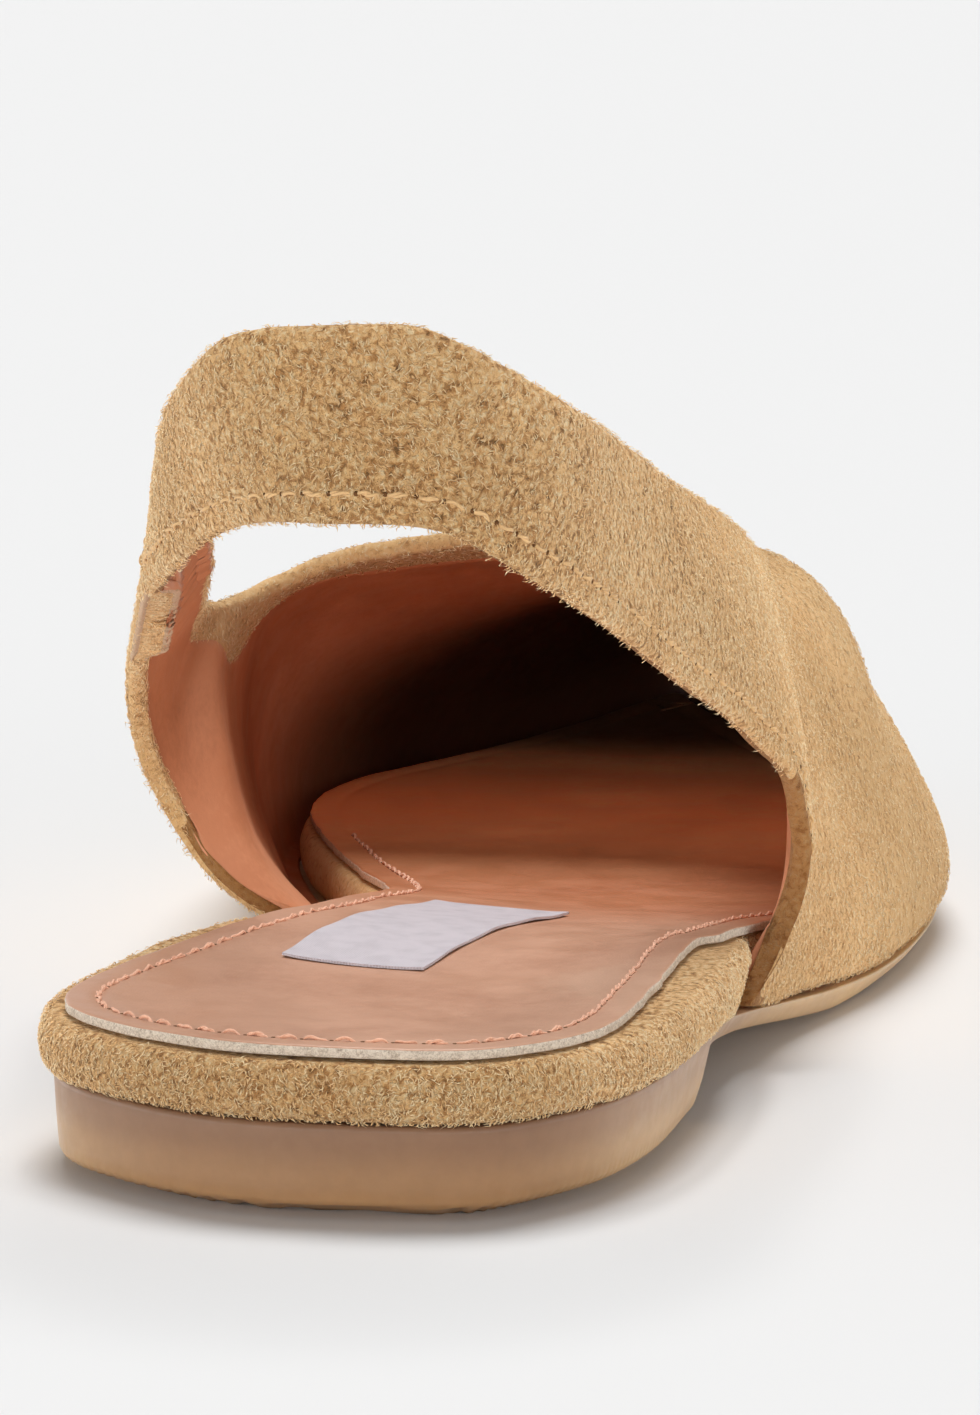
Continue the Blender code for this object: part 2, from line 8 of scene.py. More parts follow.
import bpy
import numpy as np
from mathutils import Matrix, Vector


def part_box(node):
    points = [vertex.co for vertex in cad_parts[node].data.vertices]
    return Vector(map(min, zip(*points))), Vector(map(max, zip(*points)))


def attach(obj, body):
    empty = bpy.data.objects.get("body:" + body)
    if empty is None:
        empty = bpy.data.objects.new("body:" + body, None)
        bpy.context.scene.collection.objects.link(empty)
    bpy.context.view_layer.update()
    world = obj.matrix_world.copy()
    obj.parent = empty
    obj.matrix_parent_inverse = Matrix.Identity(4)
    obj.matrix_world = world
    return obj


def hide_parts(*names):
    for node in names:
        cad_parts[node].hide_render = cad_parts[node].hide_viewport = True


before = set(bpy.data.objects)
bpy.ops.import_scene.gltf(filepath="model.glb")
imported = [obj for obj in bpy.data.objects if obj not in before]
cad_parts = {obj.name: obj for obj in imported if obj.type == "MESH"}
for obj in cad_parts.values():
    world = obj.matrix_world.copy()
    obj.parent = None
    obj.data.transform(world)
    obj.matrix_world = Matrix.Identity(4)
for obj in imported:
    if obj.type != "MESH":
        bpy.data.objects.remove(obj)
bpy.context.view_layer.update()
MM = 0.001
TAU = 2 * np.pi

# ------------------------------------------------------------------ driving sizes, mm
LENGTH = 254.0            # heel to toe, on the sole
HEEL_APEX_ACROSS = 6.0    # where the outline is rearmost
TOE_APEX_ACROSS = -4.0    # where it is foremost
HEEL_BLOCK = 50.4         # the block's length
CENTRE_ALONG = 126.86     # the shoe's box is centred here
CENTRE_ACROSS = -1.21
GAP = 0.3                 # between pieces that touch
ELASTIC_GAP = 0.8         # between the elastic and the leather, in the seam's middle
WALL = 1.9                # suede, interlining and lining together
FOOTBED_THICK = 5.2
SOCK_THICK = 1.0
LABEL_THICK = 0.25
FOOT_IN = 0.6             # the upper stands this far inside the sole's edge
DISH = 0.8                # hollow of the heel seat
ARCH = 1.4                # rise of the footbed under the inner arch
EDGE_ROUND = 1.2          # height of the sole's lower edge radius

# Outline of the outsole's top edge: one row per station
SOLE_OUTLINE = (
    # along, inner side, outer side
    (2.0, -7.8, 17.8),
    (5.0, -13.4, 20.9),
    (9.0, -18.4, 23.6),
    (14.0, -23.2, 26.1),
    (22.0, -26.8, 28.4),
    (32.0, -27.9, 29.7),
    (44.0, -26.0, 30.3),
    (56.0, -22.6, 30.4),
    (68.0, -19.5, 30.2),
    (80.0, -17.5, 30.6),
    (92.0, -16.6, 32.2),
    (104.0, -17.1, 34.6),
    (116.0, -20.1, 37.0),
    (130.0, -25.6, 38.6),
    (146.0, -31.6, 39.2),
    (162.0, -36.8, 38.5),
    (178.0, -40.2, 35.9),
    (192.0, -40.0, 31.6),
    (206.0, -36.2, 25.9),
    (220.0, -29.2, 19.0),
    (233.0, -21.6, 11.6),
    (244.0, -14.4, 4.6),
    (251.0, -9.0, 0.2),
)
# Heights of the outsole's top and underside
SOLE_TOP = (
    # along, up
    (0.0, 8.8), (50.0, 8.8), (62.0, 7.9), (75.0, 6.3), (90.0, 4.6), (105.0, 3.4), (120.0, 2.9),
    (150.0, 2.7), (185.0, 2.7), (205.0, 3.2), (225.0, 5.0), (240.0, 7.1), (254.0, 9.4),
)
SOLE_UNDER = (
    # along, up (in front of the heel block)
    (51.0, 4.4), (60.0, 5.0), (72.0, 4.1), (85.0, 2.6), (98.0, 1.1), (112.0, 0.0), (186.0, 0.0),
    (205.0, 0.5), (225.0, 2.2), (240.0, 4.2), (254.0, 6.4),
)
# How far each edge stands inside the outline above (negative: proud of it)
SOLE_UNDERCUT = (
    # along, inner side, outer side
    (0.0, 0.4, 0.8), (14.0, 0.4, 1.4), (30.0, 0.6, 1.5), (50.0, 0.8, 1.9), (75.0, 1.5, 1.5),
    (100.0, 1.8, 1.5), (125.0, 2.0, 2.0), (254.0, 2.0, 2.0),
)
FOOTBED_INSET = (
    # along, inner side, outer side
    (0.0, -0.8, -0.8), (60.0, -0.8, -0.8), (70.0, -0.7, -0.5), (75.0, -0.5, 0.1), (79.0, -0.3, 1.2),
    (83.0, -0.2, 2.0), (92.0, 0.4, 2.3), (100.0, 1.2, 2.6), (106.0, 3.4, 3.0), (112.0, 4.8, 3.3),
    (130.0, 5.2, 3.7), (160.0, 4.4, 3.7), (254.0, 4.2, 4.0),
)
FOOTBED_LOW_INSET = (
    # along, inner side, outer side: the same at its lower edge, tucked in where the quarter starts
    (0.0, -0.8, -0.8), (60.0, -0.8, -0.7), (64.0, -0.8, 0.2), (69.0, -0.7, 1.6), (74.0, -0.5, 3.3),
    (80.0, -0.3, 4.0), (88.0, 0.1, 4.2), (100.0, 1.2, 4.0), (106.0, 3.4, 3.9), (112.0, 4.8, 3.9),
    (130.0, 5.2, 3.8), (160.0, 4.4, 3.7), (254.0, 4.2, 4.0),
)
SOCK_INSET = (
    # along, inner side, outer side
    (0.0, 1.2, 1.2), (10.0, 1.0, 0.9), (20.0, 1.0, 1.6), (30.0, 2.2, 2.8), (46.0, 3.7, 3.6),
    (60.0, 4.3, 3.8), (66.0, 4.3, 3.4), (71.0, 4.1, 2.4), (79.0, 3.7, 2.1), (90.0, 3.6, 2.2),
    (100.0, 4.1, 2.4), (110.0, 5.6, 2.5), (130.0, 6.3, 2.6), (156.0, 5.7, 2.7), (175.0, 5.2, 2.8),
    (200.0, 4.8, 3.2), (254.0, 4.6, 4.4),
)
# The footbed is padded under the arch and thins out under the toes
FOOTBED_PADDING = (
    # along, part of the heel's thickness
    (0.0, 1.0), (45.0, 1.0), (70.0, 1.22), (88.0, 1.28), (108.0, 1.18), (140.0, 1.0), (190.0, 1.0),
    (238.0, 0.62), (254.0, 0.6),
)
# The blank tab on the sock
LABEL = {"along": 66.4, "across": 0.0, "length": 44.0, "width": 14.2, "turn": 8.5}

# The wall of the upper: one row per rib, from the back of the strap round the outer side, the toe
# and the inner side. Every rib starts on the top line.
# An "edge" rib ends on a free lower edge, and bows outwards between its two ends.
# A "foot" rib ends on the sole's outline, and swells over it before it turns in.
UPPER_RIBS = (
    # name, kind, top (along, across, up), lower end (along, across, up), bow, lift of the bow
    ("back", "edge", (1.5, 5.0, 79.6), (0.0, 5.0, 62.2), 0.0, 0.0),
    ("back_outer", "edge", (2.6, 12.5, 79.1), (1.0, 12.7, 61.8), 0.0, 0.0),
    ("corner_outer", "edge", (8.5, 20.6, 74.3), (4.8, 18.4, 58.8), 0.3, 0.0),
    ("sling_outer_1", "edge", (24.0, 24.2, 69.0), (23.0, 24.1, 51.4), 0.5, 0.0),
    ("sling_outer_2", "edge", (45.0, 25.4, 63.5), (50.0, 28.2, 41.9), 0.6, 0.0),
    ("sling_outer_3", "edge", (68.0, 26.3, 57.8), (73.0, 31.6, 33.2), 1.0, 0.0),
    ("rear_outer_1", "edge", (86.0, 26.8, 53.6), (83.2, 33.1, 26.0), 1.4, 0.0),
    ("rear_outer_2", "edge", (104.0, 26.2, 49.2), (85.0, 33.4, 18.5), 1.9, 0.4),
    ("rear_outer_3", "edge", (116.0, 25.2, 46.8), (82.6, 32.4, 12.2), 2.7, 1.7),
    ("rear_outer_4", "edge", (123.5, 24.4, 45.6), (79.9, 31.2, 9.0), 3.2, 2.7),
    # name, kind, top (along, across, up), foot along, side, swell, swell height, shoulder, crown, lean
    ("foot_outer_1", "foot", (130.0, 23.2, 44.9), 77.0, +1, 1.9, 6.5, 0.62, 5.2, 8.0),
    ("foot_outer_2", "foot", (137.0, 21.7, 44.7), 92.0, +1, 1.8, 6.0, 0.66, 6.2, 6.0),
    ("foot_outer_3", "foot", (143.0, 19.3, 44.4), 115.0, +1, 1.4, 3.8, 0.74, 6.8, 3.2),
    ("ball_outer_1", "foot", (147.3, 16.2, 44.3), 140.0, +1, 1.5, 3.2, 0.75, 6.5, 1.0),
    ("ball_outer_2", "foot", (149.4, 12.8, 44.3), 165.0, +1, 1.7, 3.2, 0.72, 5.4, 0.0),
    ("toe_outer_1", "foot", (150.3, 8.6, 44.6), 190.0, +1, 1.7, 4.6, 0.66, 4.9, 0.0),
    ("toe_outer_2", "foot", (150.6, 4.2, 44.9), 213.0, +1, 1.6, 7.4, 0.6, 4.4, 0.0),
    ("toe_outer_3", "foot", (150.7, -0.2, 45.0), 235.0, +1, 1.3, 6.6, 0.58, 3.4, 0.0),
    ("toe", "foot", (150.7, -4.5, 45.0), 254.0, +1, 0.7, 6.2, 0.58, 3.0, 0.0),
    ("toe_inner_3", "foot", (150.6, -8.8, 44.8), 242.0, -1, 1.3, 6.8, 0.58, 3.4, 0.0),
    ("toe_inner_2", "foot", (150.4, -13.4, 44.4), 225.0, -1, 1.9, 7.6, 0.58, 4.2, 0.0),
    ("toe_inner_1", "foot", (150.0, -18.4, 43.7), 207.0, -1, 2.4, 8.5, 0.58, 5.0, 0.0),
    ("ball_inner_2", "foot", (149.6, -23.6, 42.8), 190.0, -1, 2.6, 9.0, 0.58, 6.0, 0.0),
    ("ball_inner_1", "foot", (149.0, -28.4, 41.3), 172.0, -1, 3.0, 9.0, 0.58, 6.0, 0.0),
    ("foot_inner_3", "foot", (146.8, -32.8, 39.5), 154.0, -1, 4.4, 9.5, 0.58, 5.0, 0.0),
    ("foot_inner_2", "foot", (141.5, -35.8, 38.3), 135.0, -1, 7.4, 10.0, 0.58, 4.0, 0.8),
    ("foot_inner_1", "foot", (132.5, -36.6, 38.4), 116.0, -1, 11.0, 10.0, 0.58, 4.0, 2.5),
    ("rear_inner_3", "edge", (123.0, -36.2, 39.8), (109.5, -29.0, 9.8), 4.5, 1.6),
    ("rear_inner_2", "edge", (113.5, -34.4, 41.4), (110.0, -35.2, 16.5), 3.4, 0.7),
    ("rear_inner_1", "edge", (104.5, -31.8, 43.6), (106.0, -38.2, 24.5), 2.6, 0.2),
    ("seam_inner", "edge", (95.0, -29.2, 46.4), (98.0, -37.2, 33.3), 2.1, 0.0),
    ("elastic_front", "edge", (86.0, -26.9, 49.2), (88.0, -34.9, 37.6), 1.7, 0.0),
    ("elastic_mid", "edge", (68.0, -23.4, 55.2), (68.0, -29.4, 44.6), 1.3, 0.0),
    ("elastic_back", "edge", (50.0, -21.0, 61.0), (46.0, -23.4, 49.8), 1.1, 0.0),
    ("sling_inner_2", "edge", (36.0, -19.2, 65.5), (33.0, -18.8, 53.0), 1.0, 0.0),
    ("sling_inner_1", "edge", (23.0, -16.2, 69.8), (20.5, -13.6, 56.8), 0.8, 0.0),
    ("corner_inner", "edge", (10.0, -11.0, 74.8), (9.5, -6.2, 60.6), 0.4, 0.0),
    ("back_inner", "edge", (3.0, -3.4, 78.9), (2.0, 0.4, 61.9), 0.0, 0.0),
)
RIB_STEPS = 3             # columns of faces between two ribs
TOE_STEPS = 6             # the same round the point of the toe
# Rows of faces, as parts of a rib's length from the top line down
WALL_ROWS = (0, 0.1, 0.21, 0.32, 0.43, 0.54, 0.64, 0.73, 0.81, 0.875, 0.925, 0.965, 1)


# ------------------------------------------------------------------ curves
def eased(table, column, at):
    """A smooth curve through a table's first column and another, with no overshoot."""
    xs = np.array([row[0] for row in table], float)
    ys = np.array([row[column] for row in table], float)
    at = np.clip(np.asarray(at, float), xs[0], xs[-1])
    step = np.diff(xs)
    rise = np.diff(ys) / step
    slope = np.zeros(len(xs))
    slope[0], slope[-1] = rise[0], rise[-1]
    for i in range(1, len(xs) - 1):
        if rise[i - 1] * rise[i] > 0:
            a, b = 2 * step[i] + step[i - 1], step[i] + 2 * step[i - 1]
            slope[i] = (a + b) / (a / rise[i - 1] + b / rise[i])
    i = np.clip(np.searchsorted(xs, at, side="right") - 1, 0, len(xs) - 2)
    t = (at - xs[i]) / step[i]
    return (
        (1 + 2 * t) * (1 - t) ** 2 * ys[i]
        + t * (1 - t) ** 2 * step[i] * slope[i]
        + t * t * (3 - 2 * t) * ys[i + 1]
        + t * t * (t - 1) * step[i] * slope[i + 1]
    )


def spline(knots, values, at, period=None):
    """Cubic spline through the rows of values, closed on itself if it has a period."""
    n = len(knots)
    at = np.asarray(at, float)
    matrix, right = np.zeros((n, n)), np.zeros((n,) + values.shape[1:])
    if period:
        step = np.diff(np.append(knots, knots[0] + period))
        at = (at - knots[0]) % period + knots[0]
    else:
        step = np.diff(knots)
        matrix[0, 0] = matrix[-1, -1] = 1
    for i in range(n) if period else range(1, n - 1):
        a, b, j = step[i - 1], step[i], (i + 1) % n
        matrix[i, i - 1] += a
        matrix[i, i] += 2 * (a + b)
        matrix[i, j] += b
        right[i] = 6 * ((values[j] - values[i]) / b - (values[i] - values[i - 1]) / a)
    bend = np.linalg.solve(matrix, right)
    i = np.clip(np.searchsorted(knots, at, side="right") - 1, 0, len(step) - 1)
    j = (i + 1) % n
    h, d = step[i][:, None], (at - knots[i])[:, None]
    e = h - d
    return (
        (bend[i] * e**3 + bend[j] * d**3) / (6 * h)
        + (values[i] / h - bend[i] * h / 6) * e
        + (values[j] / h - bend[j] * h / 6) * d
    )


def run_of(points, power=1.0):
    """Distance along a row of points, from 0."""
    return np.concatenate([[0], np.cumsum(np.linalg.norm(np.diff(points, axis=0), axis=1) ** power)])


# ------------------------------------------------------------------ the sole's outline
def outline(side, at):
    """Points (along, across) of the outline, at 0 (heel) to 1 (toe) on the inner (-1) or outer (+1) side."""
    rows = np.array(SOLE_OUTLINE)
    ends = [(0.0, HEEL_APEX_ACROSS)], [(LENGTH, TOE_APEX_ACROSS)]
    outer = np.vstack([ends[0], rows[:, [0, 2]], ends[1]])
    inner = np.vstack([ends[0], rows[:, [0, 1]], ends[1]])
    knots = (run_of(outer) + run_of(inner)) / 2
    half = knots[-1]
    closed = np.concatenate([knots, 2 * half - knots[1:-1][::-1]])
    points = np.vstack([outer, inner[1:-1][::-1]])
    at = np.asarray(at, float) * half
    return spline(closed, points, at if side > 0 else 2 * half - at, period=2 * half)


FINE = np.linspace(0, 1, 3001)
SIDE = {side: outline(side, FINE) for side in (-1, +1)}


def outward(side, at):
    """Unit normals that point out of the outline."""
    ahead, behind = outline(side, np.minimum(at + 5e-4, 1)), outline(side, np.maximum(at - 5e-4, 0))
    run = ahead - behind
    out = np.stack([-run[:, 1], run[:, 0]], 1) * side
    out /= np.linalg.norm(out, axis=1)[:, None]
    out[np.asarray(at) <= 0] = (-1, 0)
    out[np.asarray(at) >= 1] = (1, 0)
    return out


def station(side, along):
    """Where on the outline, 0 to 1, a distance along the shoe is reached."""
    return np.interp(along, SIDE[side][:, 0], FINE)


def inset_edge(side, at, table):
    """The outline moved inwards by a table of (along, inner side, outer side)."""
    points = outline(side, at)
    return points - outward(side, at) * eased(table, 2 if side > 0 else 1, points[:, 0])[:, None]


def sole_top(along):
    return eased(SOLE_TOP, 1, along)


def sole_under(along):
    along = np.asarray(along, float)
    return np.where(along < HEEL_BLOCK, 0.0, eased(SOLE_UNDER, 1, along))


def ramp(at, start, end):
    """0 before start and 1 after end, smooth between. It falls if end is below start."""
    t = np.clip((np.asarray(at, float) - start) / (end - start), 0, 1)
    return t * t * (3 - 2 * t)


def footbed_top(along, across):
    """Height of the footbed: hollow under the heel, and raised along the inner arch."""
    top = sole_top(along) + GAP + FOOTBED_THICK * eased(FOOTBED_PADDING, 1, along)
    seat = ramp(along, 4, 24) * ramp(along, 78, 38)
    middle = np.clip(1 - ((np.asarray(across) - 1.5) / 25) ** 2, 0, 1)
    arch = ramp(along, 30, 66) * ramp(along, 132, 98) * ramp(across, 12, -22)
    return top - DISH * seat * middle + ARCH * arch



# ------------------------------------------------------------------ the upper's wall
def rib_controls():
    """Four points for each rib: top line, shoulder, swell, lower end."""
    ribs = []
    for row in UPPER_RIBS:
        top = np.array(row[2])
        if row[1] == "edge":
            _, _, _, low, bow, lift = row
            low = np.array(low)
            out = np.array([0.0, np.sign(top[1] + low[1] - 10.0) * bow, lift])
            ribs.append([top, top + (low - top) * 0.36 + out, top + (low - top) * 0.8 + out * 0.8, low])
        else:
            _, _, _, along, side, swell, rise, part, crown, lean = row
            at = np.array([1.0 if along >= LENGTH else station(side, along)])
            out = np.append(outward(side, at)[0], 0.0)
            foot = np.append(outline(side, at)[0], 0.0) - out * FOOT_IN
            foot[2] = sole_top(foot[0]) + GAP
            swollen = foot + out * swell + np.array([lean, 0, rise])
            shoulder = swollen + (top - swollen) * part + (out + (0, 0, 1)) * crown / np.sqrt(2)
            ribs.append([top, shoulder, swollen, foot])
    return np.array(ribs)


RIBS = rib_controls()
RIB_GAPS = np.linalg.norm(np.roll(RIBS, -1, axis=0) - RIBS, axis=2).mean(1)
RIB_AT = np.concatenate([[0], np.cumsum(RIB_GAPS)])
ROUND = RIB_AT[-1]
RIB_NAMES = [row[0] for row in UPPER_RIBS]


def place(name):
    return RIB_AT[RIB_NAMES.index(name)]



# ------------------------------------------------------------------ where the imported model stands
_low, _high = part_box("outsole")
CENTRE_ALONG = _high.y / MM
CENTRE_ACROSS = _low.x / MM + SIDE[+1][:, 1].max()


def to_world(points):
    points = np.asarray(points, float).reshape(-1, 3)
    return np.stack([CENTRE_ACROSS - points[:, 1], CENTRE_ALONG - points[:, 0], points[:, 2]], 1) * MM


# ------------------------------------------------------------------ mesh making
PIECES = {}


def make_mesh(name, points, faces, materials, face_material=None, uv=None, tint=None, smooth=True,
              sharp=None, node=None, slot=None):
    """A piece from points in mm and faces. uv is per point, in mm; tint is a grey per point."""
    world = to_world(points)
    faces = [np.asarray(f) for f in faces] if not isinstance(faces, np.ndarray) else faces
    if isinstance(faces, np.ndarray):
        sizes = np.full(len(faces), faces.shape[1])
        flat = faces.ravel()
    else:
        sizes = np.array([len(f) for f in faces])
        flat = np.concatenate(faces)
    # outward: the signed volume is positive
    start = np.concatenate([[0], np.cumsum(sizes)[:-1]])
    first = np.repeat(flat[start], sizes - 2)
    ids = np.concatenate([np.arange(s + 1, s + n - 1) for s, n in zip(start, sizes)])
    second, third = flat[ids], flat[ids + 1]
    volume = np.einsum("ij,ij->i", world[first], np.cross(world[second], world[third])).sum()
    if volume < 0:
        order = np.concatenate([np.arange(s + n - 1, s - 1, -1) for s, n in zip(start, sizes)])
        flat = flat[order]
    mesh = bpy.data.meshes.new(name)
    mesh.vertices.add(len(world))
    mesh.vertices.foreach_set("co", world.astype(np.float32).ravel())
    mesh.loops.add(len(flat))
    mesh.loops.foreach_set("vertex_index", flat.astype(np.int32))
    mesh.polygons.add(len(sizes))
    mesh.polygons.foreach_set("loop_start", start.astype(np.int32))
    mesh.polygons.foreach_set("loop_total", sizes.astype(np.int32))
    if face_material is not None:
        mesh.polygons.foreach_set("material_index", np.asarray(face_material, np.int32))
    if uv is not None:
        layer = mesh.uv_layers.new(name="mm")
        layer.data.foreach_set("uv", (np.asarray(uv, np.float32)[flat] * 0.01).ravel())
    if tint is not None:
        tint = np.asarray(tint, np.float32)
        layer = mesh.color_attributes.new("tint", "FLOAT_COLOR", "POINT")
        layer.data.foreach_set("color", np.stack([tint, tint, tint, np.ones_like(tint)], 1).ravel())
    mesh.update(calc_edges=True)
    mesh.validate()
    if smooth:
        mesh.shade_smooth()
        if sharp:
            mesh.set_sharp_from_angle(angle=np.radians(sharp))
    obj = bpy.data.objects.new(name, mesh)
    bpy.context.scene.collection.objects.link(obj)
    for material in materials:
        mesh.materials.append(material)
    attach(obj, "root")
    if node:
        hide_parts(node)
    PIECES[name] = obj
    return obj


def waves(points, scales, seed):
    """A smooth wandering number between about -1 and 1, from points in mm and wavelengths in mm."""
    rng = np.random.default_rng(seed)
    total = np.zeros(len(points))
    for scale in scales:
        for _ in range(3):
            way = rng.normal(size=3)
            way /= np.linalg.norm(way)
            total += np.sin(points @ way * TAU / scale + rng.uniform(0, TAU))
    return total / (3 * len(scales)) * 1.6


# ------------------------------------------------------------------ the wall of the upper
class Wall:
    """A fine grid over the wall's outer surface: columns round the ring, rows down from the top line."""

    ROWS = 141

    def __init__(self, around, soften=True):
        self.around = around
        self.grid = wall_fractions(around, np.linspace(0, 1, self.ROWS))
        if soften:
            self.grid = softened(around, self.grid)
        self.measure()

    def measure(self):
        grid = self.grid
        down = np.gradient(grid, axis=1)
        along = np.gradient(grid, self.around, axis=0)
        level = int(0.84 * (self.ROWS - 1))
        along[:, level:] = along[:, level : level + 1]
        out = np.cross(down, along)
        out /= np.linalg.norm(out, axis=2)[:, :, None]
        hub = np.stack([np.full(len(grid), 120.0), np.zeros(len(grid)), grid[:, 40, 2]], 1)
        if ((grid[:, 40] - hub) * out[:, 40]).sum() < 0:
            out = -out
        # at the sole the wall's thickness lies level
        level = out * (1, 1, 0)
        level /= np.maximum(np.linalg.norm(level, axis=2), 1e-9)[:, :, None]
        near = ramp(grid[:, -1, 2] - sole_top(grid[:, -1, 0]), 4.0, 0.8)[:, None, None]
        near = near * ramp(np.linspace(0, 1, self.ROWS), 0.86, 0.975)[None, :, None]
        out = out * (1 - near) + level * near
        out /= np.linalg.norm(out, axis=2)[:, :, None]
        self.out = out
        step = np.linalg.norm(np.diff(grid, axis=1), axis=2)
        self.run = np.concatenate([np.zeros((len(grid), 1)), np.cumsum(step, axis=1)], axis=1)
        self.length = self.run[:, -1]

    def push(self, amount):
        """Moves the surface along its normals by amount, a grid in mm."""
        self.grid = self.grid + self.out * amount[:, :, None]
        self.measure()

    def at(self, down):
        """Points and normals at distances in mm from the top line, one row of distances per column."""
        n, k = down.shape
        points, normals = np.empty((n, k, 3)), np.empty((n, k, 3))
        for i in range(n):
            place_in = np.interp(down[i], self.run[i], np.arange(self.ROWS))
            low = np.clip(place_in.astype(int), 0, self.ROWS - 2)
            part = (place_in - low)[:, None]
            points[i] = self.grid[i, low] * (1 - part) + self.grid[i, low + 1] * part
            normals[i] = self.out[i, low] * (1 - part) + self.out[i, low + 1] * part
        normals /= np.linalg.norm(normals, axis=2)[:, :, None]
        return points, normals


def wall_fractions(around, down):
    controls = spline(RIB_AT[:-1], RIBS.reshape(len(RIBS), -1), around, period=ROUND).reshape(-1, 4, 3)
    grid = np.empty((len(around), len(down), 3))
    for i, rib in enumerate(controls):
        knots = run_of(rib, 0.6)
        fine = spline(knots, rib, np.linspace(0, knots[-1], 161))
        length = run_of(fine)
        for k in range(3):
            grid[i, :, k] = np.interp(down * length[-1], length, fine[:, k])
    return grid


def blurred(grid, step, width):
    """The grid averaged over its columns with a bell of this width in mm."""
    reach = int(np.ceil(3 * width / step))
    bell = np.exp(-0.5 * (np.arange(-reach, reach + 1) * step / width) ** 2)
    bell /= bell.sum()
    padded = np.concatenate([np.repeat(grid[:1], reach, 0), grid, np.repeat(grid[-1:], reach, 0)])
    return sum(w * padded[i : i + len(grid)] for i, w in enumerate(bell))


def softened(around, grid):
    """Rounds the turn from the strap into the outer quarter, and its rear corner."""
    step = around[1] - around[0]
    span = np.minimum(
        ramp(around, place("rear_outer_1"), place("rear_outer_3")),
        ramp(around, place("foot_outer_3"), place("foot_outer_1") + 4),
    )[:, None, None]
    rows = np.linspace(0, 1, grid.shape[1])[None, :, None]
    low = ramp(rows, 0.72, 0.97)
    wide, narrow = blurred(grid, step, 6.4), blurred(grid, step, 1.7)
    return grid + span * ((wide - grid) * (1 - low) + (narrow - grid) * low)


def folds(points, table):
    """Height in mm of soft troughs (below 0) and ridges (above 0), each along a line between two places."""
    height = np.zeros(points.shape[:-1])
    for _, start, end, width, rise in table:
        start, end = np.array(start, float), np.array(end, float)
        line = end - start
        part = np.clip(((points - start) @ line) / (line @ line), 0, 1)
        away = np.linalg.norm(points - (start + part[..., None] * line), axis=-1)
        height += rise * np.exp(-((away / width) ** 2)) * (0.35 + 0.65 * np.sin(np.pi * np.clip(part, 0.12, 0.88)))
    return height


def loft(name, wall, down, depth, materials, kinds=None, clamp=True, **more):
    """A closed solid: a loop of (distance down, depth inwards) in mm at every column of the wall."""
    points, normals = wall.at(down)
    points = points - normals * depth[:, :, None]
    if clamp:
        points[:, :, 2] = np.maximum(points[:, :, 2], sole_top(points[:, :, 0]) + GAP)
    n, k = down.shape
    i, j = np.meshgrid(np.arange(n - 1), np.arange(k), indexing="ij")
    nxt = (j + 1) % k
    quads = np.stack([i * k + j, (i + 1) * k + j, (i + 1) * k + nxt, i * k + nxt], -1).reshape(-1, 4)
    faces = list(quads)
    kind = list(np.broadcast_to(kinds, (n, k))[:-1].ravel()) if kinds is not None else [0] * len(quads)
    cap_kind = int(np.max(kind))
    faces += [np.arange(k)[::-1], (n - 1) * k + np.arange(k)]
    kind += [cap_kind, cap_kind]
    uv = np.stack([np.repeat(wall.around, k), (down + depth * 0.7).ravel()], 1)
    return make_mesh(name, points.reshape(-1, 3), faces, materials, kind, uv=uv, **more)


def rounded(length, radius, thick, facing, low_facing, bare, turned):
    """The suede's loop, per column: outside, the edge turned round a radius below, its inner part, the
    thinner sheet, the facing and the edge turned round a radius on top. Returns distances down, depths
    and the kinds of the faces between: 0 napped, 1 plain inner sheet. Where bare is over a half the
    whole lower edge is the cut edge, and where turned is over a half the suede is turned in there."""
    r, f, g = radius, facing[:, None], low_facing[:, None]
    full = length[:, None]
    columns = len(length)

    def rows(values):
        return np.tile(np.asarray(values, float), (columns, 1))

    share = np.linspace(0, 1, 66)[None]
    outer_s = r + (full - 2 * r) * share
    turn = np.linspace(0, np.pi, 10)[1:-1]
    low_s, low_d = full - r + r * np.sin(turn)[None], rows(r * (1 - np.cos(turn)))
    share = np.linspace(0, 1, 4)[None]
    low_face_s = (full - r) * (1 - share) + (full - np.maximum(g - 0.4, r + 0.05)) * share
    step = np.array([(0.12, 0.88), (-0.06, 0.6), (-0.22, 0.25)])
    low_step_s = np.minimum(full - g + step[None, :, 0], full - r - 0.07 - 0.02 * np.arange(3)[None])
    share = np.linspace(0, 1, 44)[None]
    inner_s = (full - g - 0.4) * (1 - share) + (f + 0.4) * share
    top_step_s = np.maximum(f - step[None, ::-1, 0], r + 0.07 + 0.02 * np.arange(3)[None, ::-1])
    share = np.linspace(0, 1, 6)[None]
    face_s = np.maximum(f - 0.4, r + 0.05) * (1 - share) + r * share
    top_s, top_d = r * (1 - np.sin(turn))[None] + 0 * f, rows(r * (1 + np.cos(turn)))
    deep, rise = 2 * r, (2 * r - thick)
    down = np.concatenate([outer_s, low_s, low_face_s, low_step_s, inner_s, top_step_s, face_s, top_s], 1)
    depth = np.concatenate([
        0 * outer_s, low_d, 0 * low_face_s + deep, rows(thick + rise * step[:, 1]), 0 * inner_s + thick,
        rows(thick + rise * step[::-1, 1]), 0 * face_s + deep, top_d,
    ], 1)
    kinds = np.zeros(down.shape[1], int)
    first = outer_s.shape[1] + low_s.shape[1] + low_face_s.shape[1]
    kinds[first : first + 3 + inner_s.shape[1] + 2] = 1
    kinds[outer_s.shape[1] + 3 : first] = 1
    kinds = np.tile(kinds, (columns, 1))
    kinds[turned > 0.5, outer_s.shape[1] : first] = 0
    kinds[bare > 0.5, outer_s.shape[1] - 2 : first] = 1
    return down, depth, kinds


